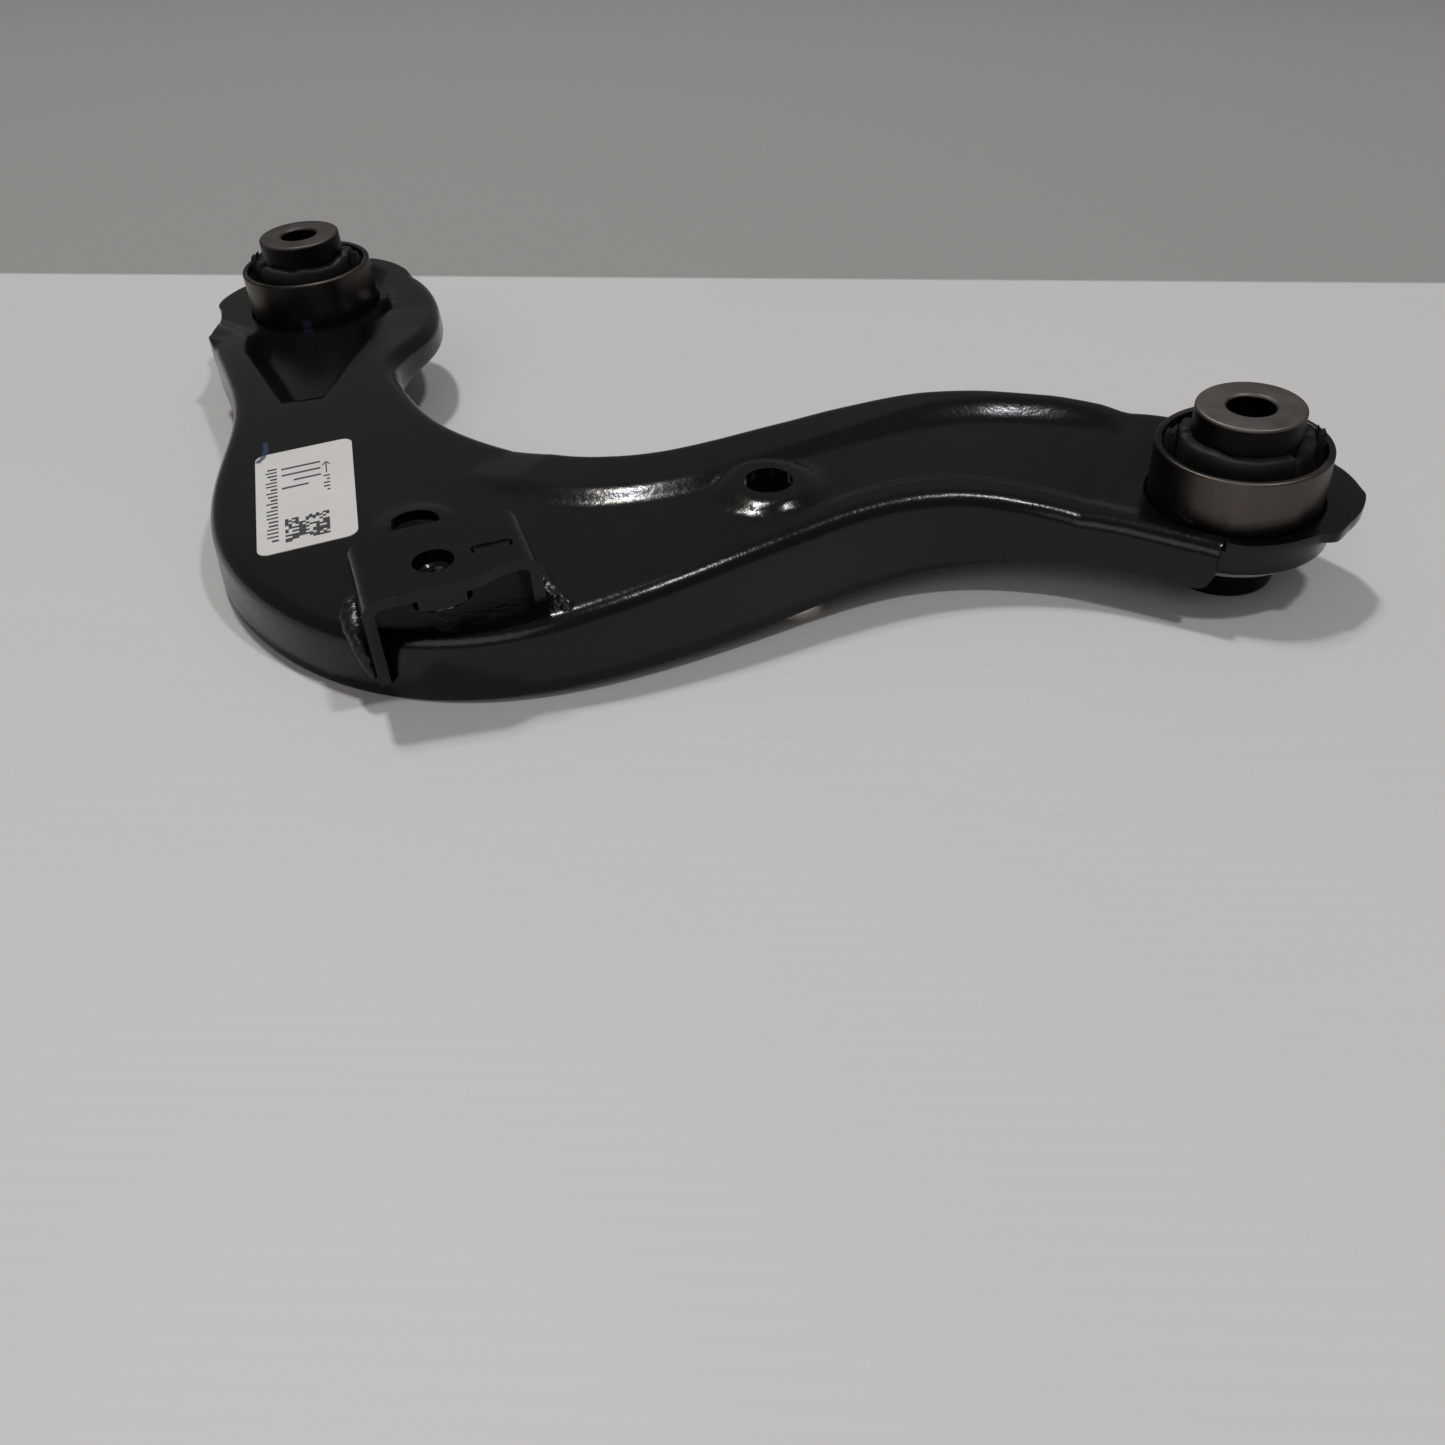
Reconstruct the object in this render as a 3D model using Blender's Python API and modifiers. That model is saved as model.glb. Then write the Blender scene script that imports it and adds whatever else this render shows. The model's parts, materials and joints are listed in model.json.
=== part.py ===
"""A pressed-steel suspension control arm with two pressed-in rubber bushings and a welded bracket.

The arm is one strongly bent channel: a 3 mm plate with a flange turned down along both long edges.
Each end carries a burred collar that holds a rubber bushing, and a small inverted-U bracket with a
weld nut stands on the outside of the bend.

Lengths below are in millimetres. The design frame has +X from the left bushing to the right one,
+Z along both bushing axes and z = 0 on the lower faces of the inner sleeves; the root empty then
moves everything so that the origin is at the middle of the box's underside.
"""

import math

import bmesh
import bpy
import numpy as np
from mathutils import Matrix, Vector

MM = 0.001
GAP = 0.3                      # clearance between touching pieces

# Bushings
BUSHING_SPAN = 333.8           # distance between the two bushing axes
INNER_LENGTH = 50.0            # inner sleeve, face to face
INNER_RADIUS = 14.0
BOLT_RADIUS = 6.2              # bore for an M12 bolt
OUTER_RADIUS = 22.65           # pressed-in steel shell
OUTER_WALL = 2.0
OUTER_TOP = 39.6
OUTER_BOTTOM = 11.2
RUBBER_SKIRT_RADIUS = 17.2
SEGMENTS = 40                  # facets round each turned piece

# Pressed arm
SHEET = 2.9
RIM_RADIUS = 4.5               # outside radius of the bend between plate and flange
FLANGE_DRAFT = math.radians(4.0)
COLLAR_RADIUS = OUTER_RADIUS + GAP
COLLAR_ENTRY = 2.4             # radius where the plate turns down into the collar
COLLAR_BOTTOM = 14.8
SEAT_LEVEL = 24.5              # top of the plate round both bushings
STEPS_PER_STATION = 2
ACROSS = 10                    # facets across the plate
RING_STEPS = 34                # facets round each bushing seat
FLANGE_END_RADIUS = 6.0

# Cross sections from the left bushing round the bend to the right one:
# outer edge x, y, inner edge x, y, plate height at the outer and inner edge, flange bottom.
STATIONS = (
    (-173.0, -46.0, -117.8, 12.6, 28.8, 28.5, 16.0),
    (-157.5, -57.0, -101.0, -8.0, 30.6, 29.5, 16.2),
    (-141.0, -68.5, -98.0, -29.0, 31.5, 31.0, 16.4),
    (-126.0, -80.0, -91.0, -43.0, 31.7, 31.7, 16.5),
    (-112.0, -94.0, -78.2, -51.5, 32.0, 32.0, 16.5),
    (-100.0, -110.0, -64.4, -60.2, 32.2, 32.2, 16.5),
    (-86.0, -128.0, -48.6, -67.2, 32.4, 32.4, 16.5),
    (-68.0, -145.0, -31.8, -70.4, 32.6, 32.6, 16.5),
    (-44.0, -158.5, -18.0, -71.6, 32.8, 33.0, 16.5),
    (-13.0, -166.0, -6.9, -72.4, 33.0, 33.6, 16.5),
    (14.0, -162.5, 3.0, -71.8, 33.4, 34.2, 16.5),
    (36.0, -150.5, 13.3, -69.0, 34.2, 34.8, 16.3),
    (52.0, -132.5, 23.5, -63.2, 35.4, 35.4, 15.4),
    (64.5, -112.5, 33.2, -53.2, 36.0, 35.8, 14.2),
    (75.5, -91.5, 43.0, -39.1, 36.0, 35.8, 13.2),
    (85.5, -71.5, 53.0, -22.5, 35.2, 34.8, 12.6),
    (97.0, -54.5, 65.2, -5.4, 33.6, 33.0, 12.3),
    (110.0, -43.0, 79.8, 10.3, 31.2, 30.6, 12.3),
    (124.0, -36.2, 101.9, 23.2, 28.0, 28.0, 12.5),
    (137.0, -32.6, 129.2, 34.4, 25.4, 26.0, 12.6),
)

# Flanges that run on past the first and last station, beside the bushings.
LEFT_LOBE = ((-129.0, 22.0), (-139.5, 28.2), (-150.0, 31.5))
RIGHT_OUTER_RUN = ((145.0, -31.4), (158.0, -30.8), (171.0, -30.8))
RIGHT_INNER_RUN = ((143.0, 36.2), (157.0, 35.4), (170.0, 33.2))

# How much higher the inner flange ends near the left bushing: station, rise.
INNER_FLANGE_RISE = ((0.0, 4.5), (3.0, 4.5), (5.0, 0.0))

# Free edge of each bushing seat: angle about the bushing axis in degrees, radius.
LEFT_EAR = ((-104.0, 40.0), (-116.0, 35.5), (-130.0, 34.2), (-141.0, 34.2), (-148.0, 35.0),
            (-151.0, 37.0), (-160.0, 38.0), (-178.0, 38.0), (-200.0, 36.5), (-225.0, 35.0),
            (-262.0, 34.6), (-290.0, 33.6))
RIGHT_EAR = ((-79.0, 27.2), (-60.0, 27.0), (-38.0, 27.0), (-24.0, 27.6), (-18.0, 30.4),
             (-6.0, 30.4), (6.0, 31.8), (18.0, 33.2), (24.0, 33.8), (27.0, 33.2), (45.0, 33.2),
             (62.0, 32.6), (72.0, 29.5), (80.0, 28.0))

# Pocket in front of the left bushing, along and across the arm's left limb.
LEFT_LIMB = (0.667, -0.745)     # direction of the left limb, from the bushing towards the bend
POCKET_HALF = 22.0
POCKET_TIP_HALF = 7.0
POCKET_STRAIGHT = 50.0
POCKET_END = 99.0
POCKET_SIDE_SLOPE = 7.5
POCKET_END_SLOPE = 11.0

# Raised rib along the inner edge: station, width, height, slope width.
RIB = ((8.0, 20.0, 0.0, 8.0), (9.3, 22.0, 1.9, 8.0), (11.0, 23.5, 2.4, 8.5), (13.0, 24.0, 2.2, 8.5),
       (14.5, 20.5, 1.8, 7.0), (15.5, 19.0, 2.4, 7.0), (16.5, 15.0, 3.6, 9.0), (17.4, 11.5, 4.0, 9.0),
       (18.2, 10.5, 3.5, 9.0), (18.7, 11.5, 1.5, 9.0), (19.0, 12.0, 0.0, 9.0))

# Holes through the plate: x, y, radius, radius and height of the boss round it.
LIGHTENING_HOLE = (-17.0, -119.3, 6.9, 12.5, 0.9)
DRAIN_HOLE = (61.3, -66.8, 6.5, 15.0, 2.2)

# Bracket, in its own frame: u along the rim, w outwards, origin at the bolt hole.
BRACKET_AT = (17.4, -148.6)
BRACKET_U = (0.65, 0.76)
BRACKET_TOP = 49.0
BRACKET_SHEET = 2.8
BRACKET_LEFT = -19.0
BRACKET_RIGHT = 23.5
BRACKET_BEND = 4.5
BRACKET_BACK = -17.6
BRACKET_HOLE_RADIUS = 5.0
SLOT = (9.1, 19.1, -0.6, 1.75)  # start and end along u, place along w, half width
NUT_ACROSS_FLATS = 14.0       # square weld nut, its flats along u and w
NUT_HEIGHT = 6.5
NUT_BORE_RADIUS = 3.5

# Weld beads against the bracket's legs: u, w, height of the path, radius of the bead.
LEFT_BEAD = ((-20.2, -15.0, 34.0, 1.6), (-20.6, -9.0, 34.3, 2.6), (-20.8, -3.5, 33.6, 3.0),
             (-20.8, 0.6, 31.4, 3.1), (-20.6, 2.6, 27.5, 2.9), (-20.4, 3.4, 23.0, 2.3), (-20.3, 3.6, 20.5, 1.4))
RIGHT_BEAD = ((24.6, -13.0, 35.0, 1.3), (25.0, -7.0, 35.3, 2.4), (25.0, -1.0, 35.4, 2.5),
              (25.2, 4.5, 35.5, 2.6), (25.2, 8.6, 35.4, 1.9), (25.0, 11.0, 35.3, 1.1))

# Sticker on the plate: corners in plan, corner radius and thickness.
LABEL_CORNERS = ((-86.5, -108.5), (-68.5, -87.0), (-28.2, -128.6), (-45.0, -149.0))
LABEL_CORNER_RADIUS = 3.2
LABEL_THICKNESS = 0.25


def clear_scene():
    for obj in list(bpy.data.objects):
        bpy.data.objects.remove(obj, do_unlink=True)


def collection(name):
    made = bpy.data.collections.new(name)
    bpy.context.scene.collection.children.link(made)
    return made


def material(name, colour, roughness, metallic=0.0):
    made = bpy.data.materials.new(name)
    made.use_nodes = True
    shader = made.node_tree.nodes["Principled BSDF"]
    shader.inputs["Base Color"].default_value = (*colour, 1.0)
    shader.inputs["Roughness"].default_value = roughness
    shader.inputs["Metallic"].default_value = metallic
    return made


def smooth_step(x):
    x = np.clip(x, 0.0, 1.0)
    return x * x * (3.0 - 2.0 * x)


def spline(rows, t):
    """Catmull-Rom curve through rows, with t = 0 at the first and len(rows) - 1 at the last."""
    rows = np.asarray(rows, float)
    last = len(rows) - 1
    i = int(min(max(math.floor(t), 0), last - 1))
    f = t - i
    b, c = rows[i], rows[i + 1]
    a = rows[i - 1] if i else 2 * b - c
    d = rows[i + 2] if i + 2 <= last else 2 * c - b
    return 0.5 * (2 * b + (c - a) * f + (2 * a - 5 * b + 4 * c - d) * f**2 + (3 * b - a - 3 * c + d) * f**3)


def bushing_centre(side):
    return np.array([side * BUSHING_SPAN / 2, 0.0])


def pocket_share(point):
    """How far the plate is let down to the left bushing's seat: 0 is not at all, 1 is fully."""
    along = np.array(LEFT_LIMB)
    across = np.array([-along[1], along[0]])
    offset = point - bushing_centre(-1)
    e, side = float(offset @ along), float(offset @ across)
    f = abs(side)
    taper = (e - POCKET_STRAIGHT) / (POCKET_END - POCKET_STRAIGHT)
    half = POCKET_HALF - (POCKET_HALF - POCKET_TIP_HALF) * min(max(taper, 0.0), 1.2)
    pocket = min((half - f) / POCKET_SIDE_SLOPE, (POCKET_END - e) / POCKET_END_SLOPE)
    seat = (POCKET_HALF + 14.0 - 1.17 * (f - POCKET_HALF) - e) / (15.0 if side > 0 else 20.0)
    if side > 0:
        away = f if e > 0 else math.hypot(e, f)
        seat = min(seat, (27.5 - away) / 3.4 + 6.0 * max(0.0, 0.6 - side / away))
    return float(smooth_step(max(pocket, seat)))


def rib_height(t, from_inner):
    width, height, slope = (np.interp(t, [r[0] for r in RIB], [r[k] for r in RIB]) for k in (1, 2, 3))
    return float(height * smooth_step((width + slope / 2 - from_inner) / slope))


def boss_height(point, hole):
    x, y, _, radius, height = hole
    away = math.hypot(point[0] - x, point[1] - y)
    return float(height * smooth_step((radius - away) / 4.0))


def plate_height(t, v, width, point):
    """Height of the plate's top at station t, a share v of the way from outer to inner edge."""
    row = spline(STATIONS, t)
    level = row[4] + (row[5] - row[4]) * v
    rib = rib_height(t, (1 - v) * width)
    level += max(rib, boss_height(point, DRAIN_HOLE)) + boss_height(point, LIGHTENING_HOLE)
    return level + (SEAT_LEVEL - level) * pocket_share(point)


def seat_height(side, point):
    """Height of the plate beside a bushing, which blends into the first or last station."""
    if side < 0:
        row = spline(STATIONS, 0.0)
        outer, inner = row[:2], row[2:4]
        v = np.clip((point - outer) @ (inner - outer) / ((inner - outer) @ (inner - outer)), 0, 1)
        level = row[4] + (row[5] - row[4]) * v
        return float(level + (SEAT_LEVEL - level) * pocket_share(point))
    row = spline(STATIONS, len(STATIONS) - 1.0)
    rise = smooth_step((bushing_centre(1)[0] - point[0]) / (BUSHING_SPAN / 2 - 133.0))
    v = np.clip((point[1] - row[1]) / (row[3] - row[1]), 0, 1)
    return float(SEAT_LEVEL + (row[4] + (row[5] - row[4]) * v - SEAT_LEVEL) * rise)


def surface_height(point):
    """Height of the plate's top over a plan point that lies between the first and last station."""
    best = None
    for t in np.arange(0.0, len(STATIONS) - 0.999, 0.1):
        row = spline(STATIONS, t)
        across = row[2:4] - row[:2]
        width = float(np.linalg.norm(across))
        offset = np.asarray(point[:2]) - row[:2]
        away = abs(offset[0] * across[1] - offset[1] * across[0]) / width
        v = float(offset @ across) / width**2
        if -0.1 < v < 1.1 and (best is None or away < best[0]):
            best = (away, t, v, width)
    _, t, v, width = best
    return plate_height(t, min(max(v, 0.0), 1.0), width, np.asarray(point[:2], float))


def inset(points, distance, side):
    """The same chain of plan points moved sideways by distance, to the left for side = 1."""
    points = np.asarray(points, float)
    step = np.gradient(points, axis=0)
    step /= np.linalg.norm(step, axis=1)[:, None]
    return points + side * distance * np.column_stack([-step[:, 1], step[:, 0]])


class ArmSkin:
    """The outer skin of the pressed arm, gathered vertex by vertex in a bmesh."""

    def __init__(self):
        self.bm = bmesh.new()

    def row(self, points):
        return [self.bm.verts.new((p[0] * MM, p[1] * MM, p[2] * MM)) for p in points]

    def strip(self, a, b):
        for i in range(len(a) - 1):
            corners = [a[i], a[i + 1], b[i + 1], b[i]]
            if len(set(corners)) == 4:
                self.bm.faces.new(corners)

    def plate(self):
        """The plate between the first and last station. Returns its rows of vertices."""
        count = (len(STATIONS) - 1) * STEPS_PER_STATION
        times = [i / STEPS_PER_STATION for i in range(count + 1)]
        rows = [spline(STATIONS, t) for t in times]
        outer = inset([r[:2] for r in rows], RIM_RADIUS, 1)
        inner = inset([r[2:4] for r in rows], RIM_RADIUS, -1)
        grid = []
        for t, a, b in zip(times, outer, inner):
            width = float(np.linalg.norm(b - a)) + 2 * RIM_RADIUS
            points = []
            for k in range(ACROSS + 1):
                p = a + (b - a) * k / ACROSS
                v = (RIM_RADIUS + np.linalg.norm(p - a)) / width
                points.append((*p, plate_height(t, v, width, p)))
            grid.append(self.row(points))
        for a, b in zip(grid, grid[1:]):
            self.strip(b, a)
        return grid, times

    def seat(self, side, edge):
        """The ring of plate round a bushing, from its free edge in to the collar's bottom."""
        centre = bushing_centre(side)
        rim = [Vector(v.co) / MM for v in edge]
        rings = [edge]
        depth = SEAT_LEVEL - COLLAR_ENTRY
        entry = COLLAR_RADIUS + COLLAR_ENTRY
        for share in (0.5, 1.0):
            ring = []
            for p in rim:
                flat = np.array(p.xy) - centre
                away = np.linalg.norm(flat)
                r = away + (entry - away) * share
                q = centre + flat / away * r
                ring.append((*q, seat_height(side, q) if share < 1 else SEAT_LEVEL))
            rings.append(self.row(ring))
        turns = [np.array(p.xy) - centre for p in rim]
        turns = [d / np.linalg.norm(d) for d in turns]
        for angle in (30, 60, 90):
            a = math.radians(angle)
            r, z = entry - COLLAR_ENTRY * math.sin(a), depth + COLLAR_ENTRY * math.cos(a)
            rings.append(self.row([(*(centre + d * r), z) for d in turns]))
        rings.append(self.row([(*(centre + d * COLLAR_RADIUS), COLLAR_BOTTOM) for d in turns]))
        for a, b in zip(rings, rings[1:]):
            self.strip(a + a[:1], b + b[:1])

    def flange(self, edge, bottoms):
        """The bend and the turned-down wall along a chain of plate-edge vertices."""
        chain = [Vector(v.co) / MM for v in edge]
        outward = plan_normals([tuple(p.xy) for p in chain])
        reach = [0.0]
        for a, b in zip(chain, chain[1:]):
            reach.append(reach[-1] + (b - a).length)
        rows = [edge]
        last = math.pi / 2 - FLANGE_DRAFT
        for k in (1, 2, 3):
            a = last * k / 3
            rows.append(self.row([
                (*(np.array(p.xy) + n * RIM_RADIUS * math.sin(a)), p.z - RIM_RADIUS * (1 - math.cos(a)))
                for p, n in zip(chain, outward)
            ]))
        wall = []
        for p, n, bottom, s in zip(chain, outward, bottoms, reach):
            near = FLANGE_END_RADIUS - min(FLANGE_END_RADIUS, s, reach[-1] - s)
            lift = FLANGE_END_RADIUS - math.sqrt(max(0.0, FLANGE_END_RADIUS**2 - near**2))
            bend_end = p.z - RIM_RADIUS * (1 - math.cos(last))
            z = min(bottom + lift, bend_end - 1.2)
            drop = bend_end - z
            out = RIM_RADIUS * math.sin(last) + drop * math.tan(FLANGE_DRAFT)
            wall.append((*(np.array(p.xy) + n * out), z))
        rows.append(self.row(wall))
        for a, b in zip(rows, rows[1:]):
            self.strip(a, b)


def plan_normals(points):
    """Unit normals to the right of a chain of plan points."""
    step = np.gradient(np.asarray(points, float), axis=0)
    step /= np.linalg.norm(step, axis=1)[:, None]
    return np.column_stack([step[:, 1], -step[:, 0]])


def ear_points(side, ear):
    """Free-edge points of a bushing seat, evenly spread in angle."""
    centre = bushing_centre(side)
    points = []
    for angle in np.linspace(ear[0][0], ear[-1][0], RING_STEPS):
        radius = np.interp(abs(angle - ear[0][0]), [abs(e[0] - ear[0][0]) for e in ear], [e[1] for e in ear])
        a = math.radians(angle)
        q = centre + radius * np.array([math.cos(a), math.sin(a)])
        points.append((*q, seat_height(side, q)))
    return points


def run_points(side, anchor, run, inward):
    """Plate-edge points beside a bushing, along a flange that runs on past the stations."""
    chain = np.array([spline([anchor, *run], t) for t in np.arange(0, len(run) + 0.01, 0.5)])
    moved = inset(chain, RIM_RADIUS, inward)[1:]
    return [(*p, seat_height(side, p)) for p in moved]


def arm_skin():
    skin = ArmSkin()
    grid, times = skin.plate()
    outer = [row[0] for row in grid]
    inner = [row[-1] for row in grid]
    bottoms = [float(spline(STATIONS, t)[6]) for t in times]
    first, last = STATIONS[0], STATIONS[-1]

    lobe = skin.row(run_points(-1, first[2:4], LEFT_LOBE, 1))
    right_outer = skin.row(run_points(1, last[:2], RIGHT_OUTER_RUN, 1))
    right_inner = skin.row(run_points(1, last[2:4], RIGHT_INNER_RUN, -1))
    left_ear = skin.row(ear_points(-1, LEFT_EAR))
    right_ear = skin.row(ear_points(1, RIGHT_EAR))

    # Left seat boundary: across the first section, round the lobe, back round the ear.
    skin.seat(-1, list(reversed(grid[0])) + left_ear + list(reversed(lobe)))
    # Right seat boundary: across the last section, round by the inner run, the ear and the outer run.
    skin.seat(1, grid[-1] + right_inner + list(reversed(right_ear)) + list(reversed(right_outer)))

    outer_chain = outer + right_outer
    inner_chain = list(reversed(lobe)) + inner + right_inner
    outer_bottoms = bottoms + [bottoms[-1]] * len(right_outer)
    rise = [float(np.interp(t, *zip(*INNER_FLANGE_RISE))) for t in times]
    inner_bottoms = [z + r for z, r in zip(bottoms, rise)]
    inner_bottoms = [inner_bottoms[0]] * len(lobe) + inner_bottoms + [bottoms[-1]] * len(right_inner)
    skin.flange(outer_chain, outer_bottoms)
    skin.flange(list(reversed(inner_chain)), list(reversed(inner_bottoms)))
    bmesh.ops.recalc_face_normals(skin.bm, faces=skin.bm.faces)
    skin.bm.normal_update()
    highest = max(skin.bm.faces, key=lambda f: f.calc_center_median().z)
    if highest.normal.z < 0:
        bmesh.ops.reverse_faces(skin.bm, faces=skin.bm.faces)
    mesh = bpy.data.meshes.new("arm_skin")
    skin.bm.to_mesh(mesh)
    skin.bm.free()
    return mesh


def link(obj, where, parent, mat=None):
    where.objects.link(obj)
    obj.parent = parent
    if mat is not None:
        obj.data.materials.clear()
        obj.data.materials.append(mat)
    return obj


def mesh_object(name, mesh, where, parent, mat=None):
    return link(bpy.data.objects.new(name, mesh), where, parent, mat)


def make_cutter(obj):
    obj.hide_render = True
    obj.display_type = "WIRE"
    return obj


def cut(obj, cutter):
    hole = obj.modifiers.new("cut_" + cutter.name, "BOOLEAN")
    hole.operation = "DIFFERENCE"
    hole.object = cutter


def cylinder_mesh(name, radius, bottom, top, segments=32):
    bm = bmesh.new()
    bmesh.ops.create_cone(bm, cap_ends=True, segments=segments, radius1=radius * MM, radius2=radius * MM,
                          depth=(top - bottom) * MM, matrix=Matrix.Translation((0, 0, (top + bottom) / 2 * MM)))
    mesh = bpy.data.meshes.new(name)
    bm.to_mesh(mesh)
    bm.free()
    return mesh


def turned(name, profile, where, parent, mat):
    """A closed profile of (radius, height) turned about Z. It runs down its outer side."""
    mesh = bpy.data.meshes.new(name)
    corners = [(r * MM, 0.0, z * MM) for r, z in profile]
    mesh.from_pydata(corners, [(i, (i + 1) % len(corners)) for i in range(len(corners))], [])
    obj = mesh_object(name, mesh, where, parent, mat)
    screw = obj.modifiers.new("turn", "SCREW")
    screw.steps = screw.render_steps = SEGMENTS
    screw.use_merge_vertices = True
    screw.merge_threshold = 0.00001
    screw.use_smooth_shade = True
    return obj


def arm(parts, cutters, root, paint):
    skin = arm_skin()
    body = mesh_object("arm_body", skin, parts, root, paint)
    thick = body.modifiers.new("sheet", "SOLIDIFY")
    thick.thickness = SHEET * MM
    thick.offset = -1.0
    thick.use_even_offset = True
    for name, hole in (("lightening_hole", LIGHTENING_HOLE), ("drain_hole", DRAIN_HOLE)):
        cutter = mesh_object(name, cylinder_mesh(name, hole[2], 20, 50), cutters, root)
        cutter.location = (hole[0] * MM, hole[1] * MM, 0)
        cut(body, make_cutter(cutter))
    envelope = mesh_object("arm_envelope", skin.copy(), cutters, root)
    swell = envelope.modifiers.new("swell", "SOLIDIFY")
    swell.thickness = (SHEET + 2 * GAP) * MM
    swell.offset = -1.0 + 2 * GAP / (SHEET + 2 * GAP)
    swell.use_even_offset = True
    return body, make_cutter(envelope)


def bushing(side, parts, root, steel, worn_steel, rubber):
    """Outer shell, bonded rubber and inner sleeve of one bushing, which turns about the sleeve's axis."""
    name = "left" if side < 0 else "right"
    axis = bpy.data.objects.new(name + "_bushing_axis", None)
    link(axis, parts, root)
    axis.location = (side * BUSHING_SPAN / 2 * MM, 0, 0)
    shell_in = OUTER_RADIUS - OUTER_WALL
    turned(name + "_outer_sleeve", (
        (OUTER_RADIUS - 0.8, OUTER_TOP), (OUTER_RADIUS, OUTER_TOP - 0.8),
        (OUTER_RADIUS, OUTER_BOTTOM + 1.2), (OUTER_RADIUS - 1.2, OUTER_BOTTOM),
        (shell_in, OUTER_BOTTOM), (shell_in, OUTER_TOP)), parts, axis, worn_steel)
    turned(name + "_inner_sleeve", (
        (INNER_RADIUS - 0.5, INNER_LENGTH), (INNER_RADIUS, INNER_LENGTH - 0.5), (INNER_RADIUS, 0.5),
        (INNER_RADIUS - 0.5, 0), (BOLT_RADIUS + 0.5, 0), (BOLT_RADIUS, 0.5),
        (BOLT_RADIUS, INNER_LENGTH - 0.5), (BOLT_RADIUS + 0.5, INNER_LENGTH)), parts, axis, steel)
    inside, outside = INNER_RADIUS + GAP, shell_in - GAP
    turned(name + "_rubber", (
        (inside, 43.5), (RUBBER_SKIRT_RADIUS - 0.7, 43.5), (RUBBER_SKIRT_RADIUS, 42.5),
        (RUBBER_SKIRT_RADIUS + 0.3, 34.5), (18.6, 33.0), (19.6, 34.2), (outside, 36.5),
        (outside, 14.3), (19.6, 16.6), (18.6, 17.8), (RUBBER_SKIRT_RADIUS + 0.3, 16.3),
        (RUBBER_SKIRT_RADIUS, 8.3), (RUBBER_SKIRT_RADIUS - 0.7, 7.3), (inside, 7.3)), parts, axis, rubber)
    return axis


def bracket_frame():
    u = Vector((*BRACKET_U, 0)).normalized()
    w = Vector((u.y, -u.x, 0))
    frame = Matrix.Identity(4)
    for i, axis in enumerate((u, w, Vector((0, 0, 1)))):
        frame.col[i].xyz = axis
    frame.col[3].xyz = Vector((BRACKET_AT[0], BRACKET_AT[1], 0)) * MM
    return frame


def plan_outline(name, corners, z, thickness, where, parent, segments=4):
    """A flat plate from (u, w, corner radius) corners, made as a filled 2D curve and then a mesh."""
    bm = bmesh.new()
    points = []
    count = len(corners)
    for i, (u, w, radius) in enumerate(corners):
        here = Vector((u, w))
        before = (Vector(corners[i - 1][:2]) - here).normalized()
        after = (Vector(corners[(i + 1) % count][:2]) - here).normalized()
        if radius <= 0:
            points.append(here)
            continue
        half = math.acos(max(-1, min(1, before.dot(after)))) / 2
        middle = here + (before + after).normalized() * radius / math.sin(half)
        start = here + before * radius / math.tan(half) - middle
        end = here + after * radius / math.tan(half) - middle
        sweep = start.angle_signed(end)
        for k in range(segments + 1):
            turn = Matrix.Rotation(-sweep * k / segments, 2)
            points.append(middle + turn @ start)
    low = [bm.verts.new((p.x * MM, p.y * MM, (z - thickness) * MM)) for p in points]
    high = [bm.verts.new((p.x * MM, p.y * MM, z * MM)) for p in points]
    bm.faces.new(high)
    bm.faces.new(list(reversed(low)))
    for i in range(len(points)):
        j = (i + 1) % len(points)
        bm.faces.new((low[i], low[j], high[j], high[i]))
    bmesh.ops.recalc_face_normals(bm, faces=bm.faces)
    mesh = bpy.data.meshes.new(name)
    bm.to_mesh(mesh)
    bm.free()
    return mesh_object(name, mesh, where, parent)


def bracket_section(outer_x, top, bend, thickness, toward, low):
    """Cross section of the top plate's bend and leg: outer and inner lines, from plate to leg end."""
    lines = []
    for radius in (bend, bend - thickness):
        line = []
        for k in range(5):
            a = math.radians(90 * k / 4)
            line.append((outer_x - toward * (bend - radius * math.sin(a)), top - bend + radius * math.cos(a)))
        line.append((outer_x - toward * (bend - radius), low))
        lines.append(line)
    return lines


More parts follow.
